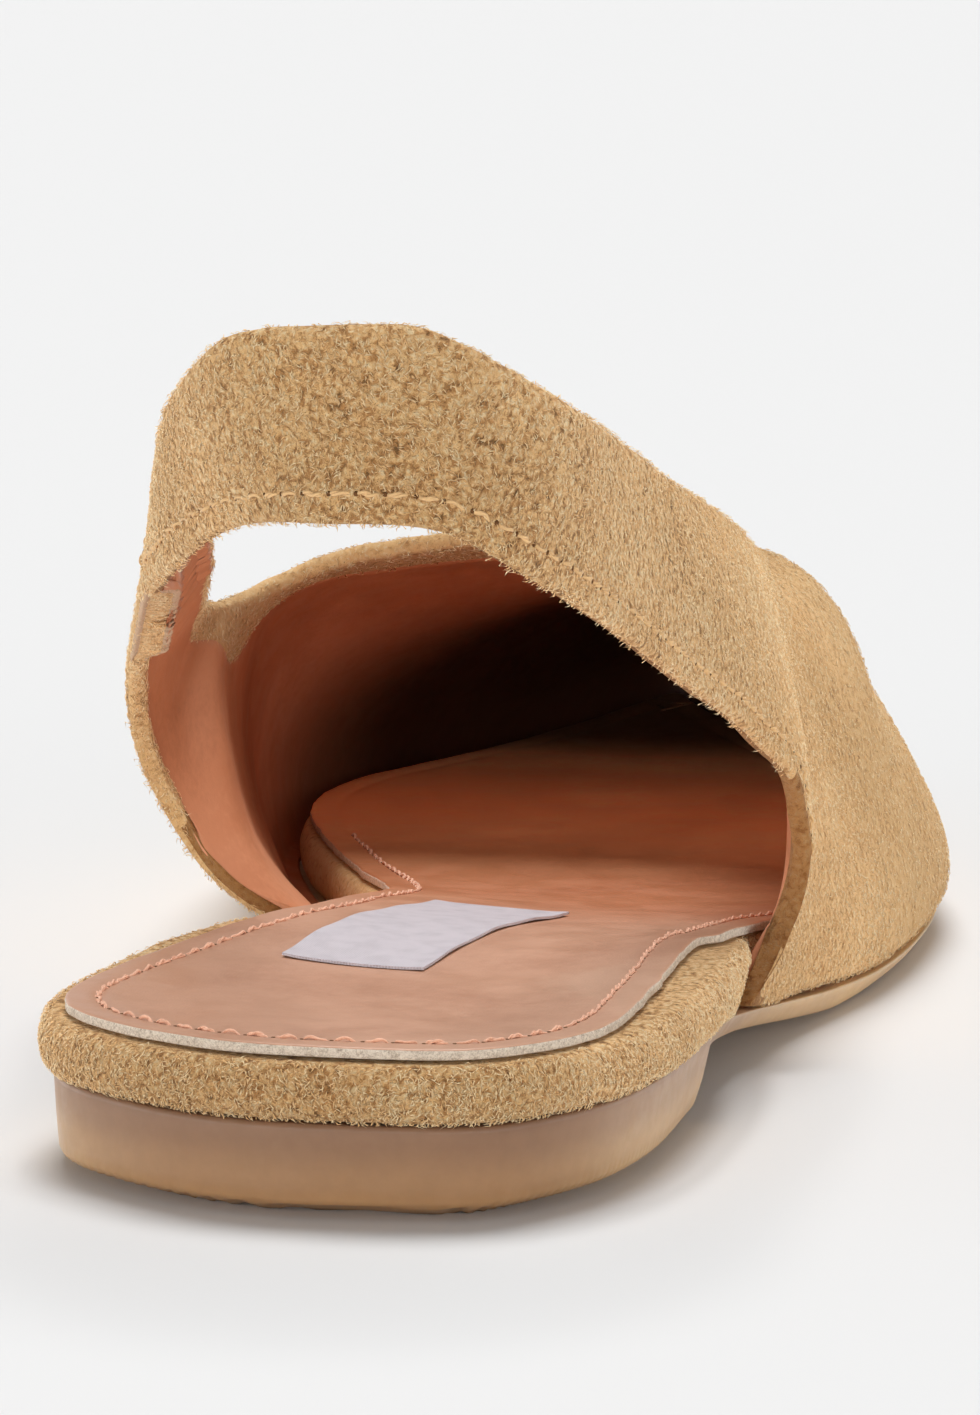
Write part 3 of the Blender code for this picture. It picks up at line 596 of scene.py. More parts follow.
# ------------------------------------------------------------------ plates inside the sole's outline
def rungs_from(alongs):
    alongs = np.unique(np.round(alongs, 4))
    return station(-1, alongs), station(+1, alongs)


def even_alongs(spacing, fine=()):
    """Stations that lie this far apart along the outline, with finer stretches (from, to, step)."""
    marks = [0.12]
    for side in (-1, +1):
        run = run_of(SIDE[side])
        marks = np.concatenate([marks, np.interp(np.arange(spacing / 2, run[-1], spacing * 2) + (spacing / 2) * side, run, SIDE[side][:, 0])])
    for low, high, step in fine:
        marks = np.concatenate([marks, np.arange(low, high, step)])
    marks = np.sort(marks)
    marks = marks[(marks > 0.1) & (marks < LENGTH - 0.1)]
    keep = [marks[0]]
    for mark in marks[1:]:
        if mark - keep[-1] > 0.045:
            keep.append(mark)
    return np.array(keep)


def plate(name, alongs, levels, columns, materials, kinds=None, relief=None, **more):
    """A closed plate. Each level, bottom first, is (inset(along, side) in mm, height(along, across)).
    columns is how many faces cross the bottom and the top cap."""
    inner_at, outer_at = rungs_from(alongs)
    n = len(inner_at)
    rim = {
        -1: (outline(-1, inner_at), outward(-1, inner_at)),
        +1: (outline(+1, outer_at), outward(+1, outer_at)),
    }
    points, loops, faces, kind, uv = [], [], [], [], []
    count = 0

    def put(flat, height, number, coords):
        nonlocal count
        full = np.column_stack([flat, height])
        points.append(full)
        uv.append(coords)
        ids = np.arange(count, count + len(full))
        count += len(full)
        return ids

    perimeter = None
    rise = 0.0
    before = None
    for number, (inset, height) in enumerate(levels):
        parts = {}
        for side in (-1, +1):
            base, out = rim[side]
            parts[side] = base - out * inset(base[:, 0], side)[:, None]
        heel = np.array([[0.0 + inset(np.array([0.0]), 1)[0], HEEL_APEX_ACROSS]])
        toe = np.array([[LENGTH - inset(np.array([LENGTH]), 1)[0], TOE_APEX_ACROSS]])
        flat = np.vstack([heel, parts[+1], toe, parts[-1][::-1]])
        z = height(flat[:, 0], flat[:, 1])
        full = np.column_stack([flat, z])
        if perimeter is None:
            perimeter = np.concatenate([[0], np.cumsum(np.linalg.norm(np.diff(flat, axis=0), axis=1))])
        else:
            rise += np.median(np.linalg.norm(full - before, axis=1))
        before = full
        ids = put(flat, z, number, np.column_stack([perimeter, np.full(len(flat), rise)]))
        loops.append((ids, parts, heel, toe))
    for number, (low, high) in enumerate(zip(loops, loops[1:])):
        a, b = low[0], high[0]
        faces.append(np.stack([a, np.roll(a, -1), np.roll(b, -1), b], 1))
        kind.append(np.full(len(a), 0 if kinds is None else kinds[number]))
    caps, cap_kind = [], []
    for which, turn in ((0, 1), (len(levels) - 1, -1)):
        ids = loops[which][0]
        parts = loops[which][1]
        width = columns[0] if which == 0 else columns[1]
        outer_ids, inner_ids = ids[1 : n + 1], ids[n + 2 :][::-1]
        share = np.linspace(0, 1, width + 1)[1:-1]
        flat = (parts[-1][:, None] + (parts[+1] - parts[-1])[:, None] * share[None, :, None]).reshape(-1, 2)
        inner = put(flat, levels[which][1](flat[:, 0], flat[:, 1]), which, flat).reshape(n, width - 1)
        grid = np.column_stack([inner_ids, inner, outer_ids])
        quads = np.stack([grid[:-1, :-1], grid[1:, :-1], grid[1:, 1:], grid[:-1, 1:]], -1).reshape(-1, 4)
        what = 0 if kinds is None else (kinds[0] if which == 0 else kinds[-1])
        faces.append(quads[:, ::turn])
        kind.append(np.full(len(quads), what))
        ends = [(ids[0], grid[0, i], grid[0, i + 1]) for i in range(width)]
        ends += [(grid[-1, i], ids[n + 1], grid[-1, i + 1]) for i in range(width)]
        caps += [np.array(t)[::turn] for t in ends]
        cap_kind += [what] * len(ends)
    everything = list(np.concatenate(faces)) + caps
    kind = np.concatenate([np.concatenate(kind), np.array(cap_kind)])
    return make_mesh(name, np.concatenate(points), everything, materials, kind, uv=np.concatenate(uv), **more)


def table_inset(table, extra=0.0, share=1.0):
    return lambda along, side: eased(table, 2 if side > 0 else 1, along) * share + extra


def mixed_inset(first, second, part, extra):
    return lambda along, side: (
        eased(first, 2 if side > 0 else 1, along) * (1 - part)
        + eased(second, 2 if side > 0 else 1, along) * part
        + extra
    )


# ------------------------------------------------------------------ many small things
def leaves(name, roots, normals, ways, length, width, lift, seed, material, tint_low, tint_high, slot):
    """Short curled fibres as closed slivers: each lies along its way and arches off the surface."""
    rng = np.random.default_rng(seed)
    n = len(roots)
    length = length * rng.uniform(0.55, 1.3, n)[:, None]
    width = width * rng.uniform(0.7, 1.3, n)[:, None]
    aside = np.cross(normals, ways)
    curl = (rng.normal(0, 0.30, n)[:, None]) * length
    high = lift * rng.uniform(0.4, 1.5, n)[:, None]
    end = lift * rng.uniform(-0.4, 1.5, n)[:, None]
    root = roots - normals * 0.07
    middle = roots + ways * length * 0.48 + normals * high + aside * curl
    tip = roots + ways * length * 0.96 + normals * end + aside * curl * rng.uniform(-0.6, 1.2, n)[:, None]
    corners = np.stack(
        [root, middle + aside * width / 2, tip, middle - aside * width / 2, middle + normals * width * 0.45], 1
    ).reshape(-1, 3)
    shape = np.array([(0, 1, 4), (1, 2, 4), (2, 3, 4), (3, 0, 4), (0, 3, 1), (1, 3, 2)])
    faces = (np.arange(n)[:, None, None] * 5 + shape[None]).reshape(-1, 3)
    own = rng.uniform(tint_low, tint_high, n)
    # each fibre is darker at its root and lighter at its tip: painted shade down in the nap and painted light on the
    # tips; own is a random tone per fibre
    tint = np.stack([own * 0.5, own, np.minimum(own * 1.25, 1), own, own * 1.05], 1).ravel()
    return make_mesh(name, corners, faces, [material], tint=tint, slot=slot)


def scattered(name, count, seed, weight=None, kinds=None):
    """Random places on a piece: points and normals in the shoe's own directions, in mm."""
    mesh = PIECES[name].data
    mesh.calc_loop_triangles()
    total = len(mesh.loop_triangles)
    ids = np.empty(total * 3, np.int32)
    mesh.loop_triangles.foreach_get("vertices", ids)
    ids = ids.reshape(-1, 3)
    places = np.empty(len(mesh.vertices) * 3, np.float32)
    mesh.vertices.foreach_get("co", places)
    places = places.reshape(-1, 3).astype(float) / MM
    places = np.stack([CENTRE_ALONG - places[:, 1], CENTRE_ACROSS - places[:, 0], places[:, 2]], 1)
    out = np.empty(len(mesh.vertices) * 3, np.float32)
    mesh.vertices.foreach_get("normal", out)
    out = out.reshape(-1, 3).astype(float)
    out = np.stack([-out[:, 1], -out[:, 0], out[:, 2]], 1)
    corner = places[ids]
    area = np.linalg.norm(np.cross(corner[:, 1] - corner[:, 0], corner[:, 2] - corner[:, 0]), axis=1) / 2
    if kinds is not None:
        polygon = np.empty(total, np.int32)
        mesh.loop_triangles.foreach_get("polygon_index", polygon)
        index = np.empty(len(mesh.polygons), np.int32)
        mesh.polygons.foreach_get("material_index", index)
        area = area * np.isin(index[polygon], kinds)
    if weight is not None:
        area = area * weight(corner.mean(1), out[ids].mean(1))
    rng = np.random.default_rng(seed)
    chosen = rng.choice(total, count, p=area / area.sum())
    r1, r2 = np.sqrt(rng.random(count)), rng.random(count)
    w = np.stack([1 - r1, r1 * (1 - r2), r1 * r2], 1)[:, :, None]
    points = (corner[chosen] * w).sum(1)
    normals = (out[ids[chosen]] * w).sum(1)
    return points, normals / np.linalg.norm(normals, axis=1)[:, None]


def brushed(points, normals, main, spread, seed, swirl=0.9, scale=17.0):
    """Directions in the surface for the nap: the main way, wandering from place to place."""
    rng = np.random.default_rng(seed)
    way = np.array(main, float) - normals * (normals @ np.array(main, float))[:, None]
    way += 1e-6
    way /= np.linalg.norm(way, axis=1)[:, None]
    aside = np.cross(normals, way)
    turn = waves(points, (scale, scale * 0.37), seed) * swirl + rng.normal(0, spread, len(points))
    return way * np.cos(turn)[:, None] + aside * np.sin(turn)[:, None]


def stitches(name, path, normals, pitch, long, thick, material, slot, seed, start=0.6, sink=0.25, rise=0.12, slant=0.0):
    """A row of two-ply stitches along a line of points, each dipping into the surface at both ends."""
    rng = np.random.default_rng(seed)
    run = run_of(path)
    count = int((run[-1] - start) // pitch)
    begin = start + np.arange(count) * pitch + rng.normal(0, 0.05, count)
    steps, around, plies = 11, 7, 2
    t = np.linspace(0, 1, steps)
    where = begin[:, None] + t[None] * (long * rng.uniform(0.94, 1.05, count))[:, None]
    mid = np.stack([np.interp(where, run, path[:, k]) for k in range(3)], -1)
    up = np.stack([np.interp(where, run, normals[:, k]) for k in range(3)], -1)
    up /= np.linalg.norm(up, axis=-1, keepdims=True)
    ahead = np.gradient(mid, axis=1)
    ahead /= np.linalg.norm(ahead, axis=-1, keepdims=True)
    aside = np.cross(up, ahead)
    arch = (np.sin(np.pi * t) ** 0.42)[None, :, None]
    mid = mid + up * (arch * (sink + rise) - sink) + aside * ((t - 0.5) * slant)[None, :, None]
    ply = thick * 0.27
    points, faces = [], []
    shape = []
    for r in range(steps - 1):
        for c in range(around):
            d = (c + 1) % around
            shape.append((r * around + c, (r + 1) * around + c, (r + 1) * around + d, r * around + d))
    shape = np.array(shape)
    caps = np.array([[np.arange(around)[::-1]], [np.arange(around) + (steps - 1) * around]]).reshape(2, around)
    size = steps * around
    quads, ends = [], []
    for k in range(plies):
        phase = t[None] * TAU * 1.15 * (long / 2.6) + k * np.pi + rng.uniform(0, TAU, count)[:, None]
        taper = (0.55 + 0.45 * np.sin(np.pi * t) ** 0.5)[None, :, None]
        centre = mid + (up * np.sin(phase)[..., None] + aside * np.cos(phase)[..., None]) * ply * taper
        turn = np.arange(around) / around * TAU
        ring = (
            centre[:, :, None]
            + (up[:, :, None] * np.sin(turn)[None, None, :, None] + aside[:, :, None] * np.cos(turn)[None, None, :, None])
            * (ply * 1.12 * taper)[:, :, None]
        )
        first = sum(len(p) for p in points)
        points.append(ring.reshape(-1, 3))
        offset = first + np.arange(count)[:, None, None] * size
        quads.append((offset + shape[None]).reshape(-1, 4))
        ends += list((offset + caps[None]).reshape(-1, around))
    points = np.concatenate(points)
    quads = np.concatenate(quads)
    own = np.repeat(rng.uniform(0.8, 1.0, count), size)
    tint = np.concatenate([own] * plies)
    make_mesh(name, points, list(quads) + ends, [material], tint=tint, slot=slot)
    tips = np.stack([where[:, 0], where[:, -1]], 1).ravel()
    spots = np.stack([np.interp(tips, run, path[:, k]) for k in range(3)], -1)
    outs = np.stack([np.interp(tips, run, normals[:, k]) for k in range(3)], -1)
    return spots, outs / np.linalg.norm(outs, axis=1)[:, None]


def pits(name, spots, outs, radius, material, slot, proud=0.05):
    """Small needle holes: shallow closed lenses that just show above the surface, their dark colour painted shade for
    the holes.
    """
    sides = 8
    ahead = np.cross(outs, (0.31, 0.47, 0.83))
    ahead /= np.linalg.norm(ahead, axis=1)[:, None]
    aside = np.cross(outs, ahead)
    turn = np.arange(sides) / sides * TAU
    ring = spots[:, None] + radius * (
        ahead[:, None] * np.cos(turn)[None, :, None] + aside[:, None] * np.sin(turn)[None, :, None]
    )
    top, low = spots + outs * proud, spots - outs * 0.3
    points = np.concatenate([ring, top[:, None], low[:, None]], 1)
    shape = np.array([(i, (i + 1) % sides, sides) for i in range(sides)] + [((i + 1) % sides, i, sides + 1) for i in range(sides)])
    faces = (np.arange(len(spots))[:, None, None] * (sides + 2) + shape[None]).reshape(-1, 3)
    return make_mesh(name, points.reshape(-1, 3), faces, [material], slot=slot)


# ------------------------------------------------------------------ materials
def new_material(name, rough, specular=0.3, colour=(0.5, 0.5, 0.5), **sockets):
    material = bpy.data.materials.new(name)
    material.use_nodes = True
    tree = material.node_tree
    shader = tree.nodes["Principled BSDF"]
    shader.inputs["Base Color"].default_value = (*colour, 1)
    shader.inputs["Roughness"].default_value = rough
    shader.inputs["Specular IOR Level"].default_value = specular
    for key, value in sockets.items():
        shader.inputs[key.replace("_", " ")].default_value = value
    material.diffuse_color = (*colour, 1)
    return material, tree, shader


def node(tree, kind, inputs=None, **settings):
    made = tree.nodes.new(kind)
    for key, value in settings.items():
        setattr(made, key, value)
    for key, value in (inputs or {}).items():
        if isinstance(value, bpy.types.NodeSocket):
            tree.links.new(value, made.inputs[key])
        else:
            made.inputs[key].default_value = value
    return made


def in_mm(tree, source="object"):
    """Coordinates in mm: along the surface (source "uv") or in the row frame."""
    if source == "uv":
        found = node(tree, "ShaderNodeUVMap", uv_map="mm").outputs["UV"]
        size = 100.0
    else:
        found = node(tree, "ShaderNodeTexCoord").outputs["Object"]
        size = 1000.0
    return node(tree, "ShaderNodeVectorMath", {0: found, 1: (size, size, size)}, operation="MULTIPLY").outputs[0]


def noise(tree, where, scale, detail=3.0, rough=0.55, distort=0.0, stretch=None):
    if stretch is not None:
        where = node(tree, "ShaderNodeVectorMath", {0: where, 1: stretch}, operation="MULTIPLY").outputs[0]
    return node(
        tree, "ShaderNodeTexNoise",
        {"Vector": where, "Scale": scale, "Detail": detail, "Roughness": rough, "Distortion": distort},
    ).outputs["Fac"]


def ramp_colour(tree, factor, stops):
    made = node(tree, "ShaderNodeValToRGB", {"Fac": factor})
    made.color_ramp.interpolation = "EASE"
    items = made.color_ramp.elements
    while len(items) < len(stops):
        items.new(0.5)
    for item, (at, colour) in zip(items, stops):
        item.position = at
        item.color = (*colour, 1)
    return made.outputs["Color"]


def maths(tree, operation, a, b=0.5, c=None):
    inputs = {0: a, 1: b}
    if c is not None:
        inputs[2] = c
    return node(tree, "ShaderNodeMath", inputs, operation=operation).outputs[0]


def mixed(tree, factor, a, b, blend="MIX"):
    made = node(tree, "ShaderNodeMix", data_type="RGBA", blend_type=blend)
    for slot_name, value in (("Factor", factor), ("A", a), ("B", b)):
        socket = next(s for s in made.inputs if s.name == slot_name and (s.type == "VALUE" if slot_name == "Factor" else s.type == "RGBA"))
        if isinstance(value, bpy.types.NodeSocket):
            tree.links.new(value, socket)
        else:
            socket.default_value = value if slot_name == "Factor" else (*value, 1)
    return next(s for s in made.outputs if s.type == "RGBA")


def bump(tree, shader, layers):
    """Bumps stacked on each other: (height, distance in mm, strength)."""
    last = None
    for height, distance, strength in layers:
        inputs = {"Height": height, "Distance": distance * MM, "Strength": strength}
        if last is not None:
            inputs["Normal"] = last
        last = node(tree, "ShaderNodeBump", inputs).outputs["Normal"]
    tree.links.new(last, shader.inputs["Normal"])


SUEDE_DARK, SUEDE_MID, SUEDE_LIGHT = (0.57, 0.300, 0.118), (0.90, 0.580, 0.280), (0.98, 0.79, 0.50)


def suede(name, source="uv", darker=(1.0, 1.0, 1.0)):
    """Short curly nap: tufts about a millimetre apart with dark gaps, and brushed patches."""
    material, tree, shader = new_material(
        name, 0.93, 0.12, SUEDE_MID, Sheen_Weight=0.20, Sheen_Roughness=0.45, Sheen_Tint=(1.0, 0.86, 0.66, 1.0)
    )
    where = in_mm(tree, source)
    wander = node(tree, "ShaderNodeTexNoise", {"Vector": where, "Scale": 1.3, "Detail": 2.0, "Roughness": 0.6}).outputs["Color"]
    moved = node(tree, "ShaderNodeVectorMath", {0: wander, 1: (1.1, 1.1, 1.1), 2: where}, operation="MULTIPLY_ADD").outputs[0]
    tuft = node(tree, "ShaderNodeTexVoronoi", {"Vector": moved, "Scale": 1.75, "Randomness": 1.0}, feature="SMOOTH_F1").outputs["Distance"]
    gap = maths(tree, "SUBTRACT", 1.0, tuft)
    curls = noise(tree, moved, 2.5, 2.0, 0.6, 1.6)
    fine = noise(tree, where, 6.0, 2.0, 0.6, 1.0)
    patch = noise(tree, where, 0.055, 3.0, 0.55, 0.6)
    broad = noise(tree, where, 0.018, 2.0, 0.5, 0.4)
    # the height of the nap: 0 in a gap, 1 on a curl
    nap_height = maths(tree, "MULTIPLY_ADD", curls, 0.56, maths(tree, "MULTIPLY_ADD", gap, 0.74, -0.26))
    # rubbed smoother towards the toe
    smooth = maths(tree, "MULTIPLY", along_ramp(tree, 45, 100), 0.5)
    nap_height = maths(tree, "MULTIPLY_ADD", maths(tree, "SUBTRACT", 0.52, nap_height), smooth, nap_height)
    tone = maths(tree, "MULTIPLY_ADD", fine, 0.16, maths(tree, "MULTIPLY_ADD", patch, 0.20, maths(tree, "SUBTRACT", nap_height, 0.18)))
    # the colour follows the nap: darkest down in the gaps between tufts, painted shade there; the patches and fine
    # flecks are the suede's own uneven tone
    colour = ramp_colour(
        tree, tone,
        [
            (0.15, tuple(0.42 * c * d for c, d in zip(SUEDE_DARK, darker))), (0.31, tuple(c * d for c, d in zip(SUEDE_DARK, darker))),
            (0.48, tuple(c * d for c, d in zip(SUEDE_MID, darker))), (0.72, tuple(c * d for c, d in zip(SUEDE_LIGHT, darker))),
        ],
    )
    shade = ramp_colour(tree, broad, [(0.35, (0.88, 0.85, 0.80)), (0.65, (1.06, 1.05, 1.04))])
    colour = mixed(tree, 1.0, colour, shade, "MULTIPLY")
    # painted shade: the suede is darkened a little at the back of the heel, and from the quarter forward over the vamp
    colour = mixed(tree, along_ramp(tree, 2, 14), mixed(tree, 1.0, colour, (0.86, 0.83, 0.78), "MULTIPLY"), colour)
    colour = mixed(tree, along_ramp(tree, 96, 132), colour, mixed(tree, 1.0, colour, (0.88, 0.86, 0.83), "MULTIPLY"))
    tree.links.new(colour, shader.inputs["Base Color"])
    bump(tree, shader, [(patch, 1.0, 0.25), (nap_height, 0.55, 0.9), (fine, 0.18, 0.7)])
    return material


def fibre(name, darker=1.0):
    material, tree, shader = new_material(
        name, 0.85, 0.15, SUEDE_MID, Sheen_Weight=0.15, Sheen_Roughness=0.4, Sheen_Tint=(1.0, 0.88, 0.7, 1.0)
    )
    own = node(tree, "ShaderNodeAttribute", attribute_name="tint").outputs["Fac"]
    where = in_mm(tree, "object")
    patch = noise(tree, where, 0.055, 3.0, 0.55, 0.6)
    tone = maths(tree, "MULTIPLY_ADD", patch, 0.42, maths(tree, "SUBTRACT", own, 0.21))
    colour = ramp_colour(
        tree, tone,
        [(0.10, tuple(c * darker * 0.8 for c in SUEDE_DARK)), (0.55, tuple(c * darker for c in SUEDE_MID)), (0.98, tuple(c * darker for c in SUEDE_LIGHT))],
    )
    # painted shade: the fibres are darkened at the back of the heel and from the quarter forward, like the suede under
    # them
    colour = mixed(tree, along_ramp(tree, 2, 14), mixed(tree, 1.0, colour, (0.86, 0.83, 0.78), "MULTIPLY"), colour)
    colour = mixed(tree, along_ramp(tree, 96, 132), colour, mixed(tree, 1.0, colour, (0.88, 0.86, 0.83), "MULTIPLY"))
    tree.links.new(colour, shader.inputs["Base Color"])
    return material


def along_ramp(tree, start, end):
    """0 behind start and 1 in front of end, in mm from the back of the heel."""
    where = node(tree, "ShaderNodeTexCoord").outputs["Object"]
    y = node(tree, "ShaderNodeSeparateXYZ", {"Vector": where}).outputs["Y"]
    made = node(
        tree, "ShaderNodeMapRange",
        {"Value": y, "From Min": (CENTRE_ALONG - start) * MM, "From Max": (CENTRE_ALONG - end) * MM},
        interpolation_type="SMOOTHSTEP",
    )
    return made.outputs["Result"]


def smooth_leather(name, stops, rough, grain, source="object", specular=0.42, folds_scale=0.05, deep=(178, 214), painted_light_tints=()):
    """Smooth lining leather: a faint grain, soft clouding and slightly uneven gloss."""
    material, tree, shader = new_material(name, rough, specular, stops[1])
    where = in_mm(tree, source)
    cloud = noise(tree, where, folds_scale, 4.0, 0.55, 0.5)
    speck = noise(tree, where, 0.9, 3.0, 0.6, 0.2)
    pores = node(tree, "ShaderNodeTexVoronoi", {"Vector": where, "Scale": 2.6, "Randomness": 1.0}, feature="DISTANCE_TO_EDGE").outputs["Distance"]
    tone = maths(tree, "MULTIPLY_ADD", speck, 0.25, maths(tree, "SUBTRACT", cloud, 0.125))
    colour = ramp_colour(tree, tone, [(0.30, stops[0]), (0.50, stops[1]), (0.70, stops[2])])
    # painted light: each span tints the colour from its start to its end along the shoe, standing in for light inside
    # the shoe
    for start, end, tint in painted_light_tints:
        colour = mixed(tree, along_ramp(tree, start, end), colour, mixed(tree, 1.0, colour, tint, "MULTIPLY"))
    # painted shade: deep in the toe, where little light reaches, the leather is darkened almost to black
    colour = mixed(tree, along_ramp(tree, *deep), colour, mixed(tree, 1.0, colour, (0.10, 0.08, 0.07), "MULTIPLY"))
    tree.links.new(colour, shader.inputs["Base Color"])
    gloss = ramp_colour(tree, noise(tree, where, 0.16, 3.0, 0.6, 0.3), [(0.3, (rough - 0.07,) * 3), (0.7, (rough + 0.1,) * 3)])
    tree.links.new(gloss, shader.inputs["Roughness"])
    bump(tree, shader, [(cloud, 1.2, 0.18), (speck, 0.10, 0.35 * grain), (pores, 0.05, 0.5 * grain)])
    return material


def rubber(name):
    """Translucent tan rubber: taupe along the top, honey towards the floor."""
    material, tree, shader = new_material(
        name, 0.40, 0.42, (0.36, 0.23, 0.14), Subsurface_Weight=0.28, Subsurface_Scale=0.004, Subsurface_Radius=(1.0, 0.62, 0.36)
    )
    where = in_mm(tree, "object")
    parts = node(tree, "ShaderNodeSeparateXYZ", {"Vector": where})
    wander = noise(tree, where, 0.07, 2.0, 0.5, 0.2)
    height = maths(tree, "MULTIPLY_ADD", wander, 2.6, maths(tree, "SUBTRACT", parts.outputs["Z"], 1.3))
    share = maths(tree, "DIVIDE", height, 9.2)
    colour = ramp_colour(
        tree, share,
        [(0.0, (0.47, 0.268, 0.122)), (0.34, (0.385, 0.215, 0.102)), (0.78, (0.275, 0.148, 0.078)), (1.0, (0.215, 0.113, 0.062))],
    )
    # painted shade and painted light: the heel's back is darkened a little, and the sides in front of it, where the
    # sole is thinner, are lightened and greyed as a painted reflection of the bright surroundings
    colour = mixed(tree, along_ramp(tree, 2, 30), mixed(tree, 1.0, colour, (0.95, 0.93, 0.93), "MULTIPLY"), mixed(tree, 1.0, colour, (1.58, 1.85, 2.15), "MULTIPLY"))
    fleck = noise(tree, where, 0.6, 3.0, 0.6, 0.0)
    shade = ramp_colour(tree, fleck, [(0.3, (0.965, 0.96, 0.95)), (0.7, (1.03, 1.03, 1.03))])
    colour = mixed(tree, 1.0, colour, shade, "MULTIPLY")
    tree.links.new(colour, shader.inputs["Base Color"])
    gloss = ramp_colour(tree, noise(tree, where, 0.35, 4.0, 0.6, 0.0), [(0.3, (0.34,) * 3), (0.7, (0.47,) * 3)])
    tree.links.new(gloss, shader.inputs["Roughness"])
    bump(tree, shader, [(wander, 0.8, 0.10), (fleck, 0.05, 0.25), (noise(tree, where, 7.0, 2.0, 0.6), 0.02, 0.35)])
    return material


def raw_edge(name, low, high, source="object"):
    """The cut edge of board or leather: pale, fibrous, streaked along its length."""
    material, tree, shader = new_material(name, 0.95, 0.1, high)
    where = in_mm(tree, source)
    streak = noise(tree, where, 1.9, 4.0, 0.65, 1.0)
    crumb = noise(tree, where, 6.5, 3.0, 0.65, 0.3)
    tone = maths(tree, "MULTIPLY_ADD", crumb, 0.5, maths(tree, "MULTIPLY", streak, 0.5))
    tree.links.new(ramp_colour(tree, tone, [(0.34, low), (0.6, high)]), shader.inputs["Base Color"])
    bump(tree, shader, [(streak, 0.22, 0.7), (crumb, 0.10, 0.7)])
    return material


def thread(name, low, high):
    material, tree, shader = new_material(name, 0.55, 0.35, high, Sheen_Weight=0.15)
    own = node(tree, "ShaderNodeAttribute", attribute_name="tint").outputs["Fac"]
    where = in_mm(tree, "object")
    ply = noise(tree, where, 5.5, 2.0, 0.6, 0.6)
    tone = maths(tree, "MULTIPLY", own, maths(tree, "MULTIPLY_ADD", ply, 0.6, 0.7))
    tree.links.new(ramp_colour(tree, tone, [(0.45, low), (1.0, high)]), shader.inputs["Base Color"])
    bump(tree, shader, [(ply, 0.06, 0.6)])
    return material


def woven(name):
    """White woven tape: fine warp and weft."""
    material, tree, shader = new_material(name, 0.72, 0.25, (0.78, 0.76, 0.80), Sheen_Weight=0.1)
    where = in_mm(tree, "uv")
    parts = node(tree, "ShaderNodeSeparateXYZ", {"Vector": where})
    warp = maths(tree, "SINE", maths(tree, "MULTIPLY", parts.outputs["X"], TAU / 0.34))
    weft = maths(tree, "SINE", maths(tree, "MULTIPLY", parts.outputs["Y"], TAU / 0.30))
    weave = maths(tree, "MULTIPLY_ADD", maths(tree, "MULTIPLY", warp, weft), 0.5, 0.5)
    blot = noise(tree, where, 0.35, 3.0, 0.5, 0.2)
    tone = maths(tree, "MULTIPLY_ADD", weave, 0.25, maths(tree, "MULTIPLY", blot, 0.75))
    tree.links.new(ramp_colour(tree, tone, [(0.25, (0.43, 0.405, 0.44)), (0.6, (0.54, 0.51, 0.55))]), shader.inputs["Base Color"])
    bump(tree, shader, [(weave, 0.05, 0.5), (blot, 0.1, 0.2)])
    return material


def plain(name, colour, rough=0.9):
    material, tree, shader = new_material(name, rough, 0.1, colour)
    where = in_mm(tree, "object")
    fleck = noise(tree, where, 2.2, 3.0, 0.6)
    shade = ramp_colour(tree, fleck, [(0.3, tuple(c * 0.8 for c in colour)), (0.7, tuple(min(c * 1.2, 1) for c in colour))])
    tree.links.new(shade, shader.inputs["Base Color"])
    bump(tree, shader, [(fleck, 0.1, 0.5)])
    return material


SUEDE = suede("suede", "object")
# painted shade: a darker copy of the suede, used on its inner faces, cut edges and facings, which face inwards
SUEDE_EDGE_SHADED = suede("suede_edge_shaded", "object", (0.48, 0.36, 0.26))
# painted light: a slightly lighter copy of the suede for the footbed's rim
SUEDE_RIM_LIT = suede("suede_rim_lit", "object", (1.04, 1.04, 1.04))
NAP = fibre("suede_fibres")
LINING = smooth_leather(
    "lining_leather", [(0.540, 0.212, 0.102), (0.650, 0.270, 0.136), (0.750, 0.340, 0.184)], 0.46, 0.8, "uv", 0.40, 0.035
)
# painted light: the sock is tinted warmer from the waist forward and lightened strongly under the throat, where light
# falls in; deep in the toe it is darkened as painted shade
SOCK = smooth_leather(
    "sock_leather", [(0.470, 0.238, 0.143), (0.540, 0.292, 0.183), (0.600, 0.354, 0.232)], 0.42, 1.0, "object", 0.44, 0.030,
    deep=(210, 232), painted_light_tints=((62, 118, (0.92, 0.64, 0.44)), (128, 185, (2.9, 3.9, 4.3)))
)
RAW = raw_edge("board_edge", (0.42, 0.33, 0.25), (0.80, 0.70, 0.58))
EDGE_TAPE = raw_edge("elastic_edge", (0.50, 0.33, 0.20), (0.74, 0.52, 0.36), "object")
RUBBER = rubber("outsole_rubber")
SALMON = thread("sock_thread", (0.50, 0.21, 0.12), (0.84, 0.47, 0.31))
TONAL = thread("suede_thread", (0.46, 0.26, 0.11), (0.76, 0.48, 0.22))
TAPE = woven("label_weave")
# painted shade: the near-black colour of the needle holes
HOLE_SHADE = plain("needle_hole_shade", (0.15, 0.068, 0.026))

# ------------------------------------------------------------------ the upper
START = place("elastic_back") - ROUND + ELASTIC_GAP / 2
END = place("elastic_front") - ELASTIC_GAP / 2
AROUND_STEP = 0.95
COLUMNS = int((END - START) / AROUND_STEP) + 1
wall = Wall(np.linspace(START, END, COLUMNS))
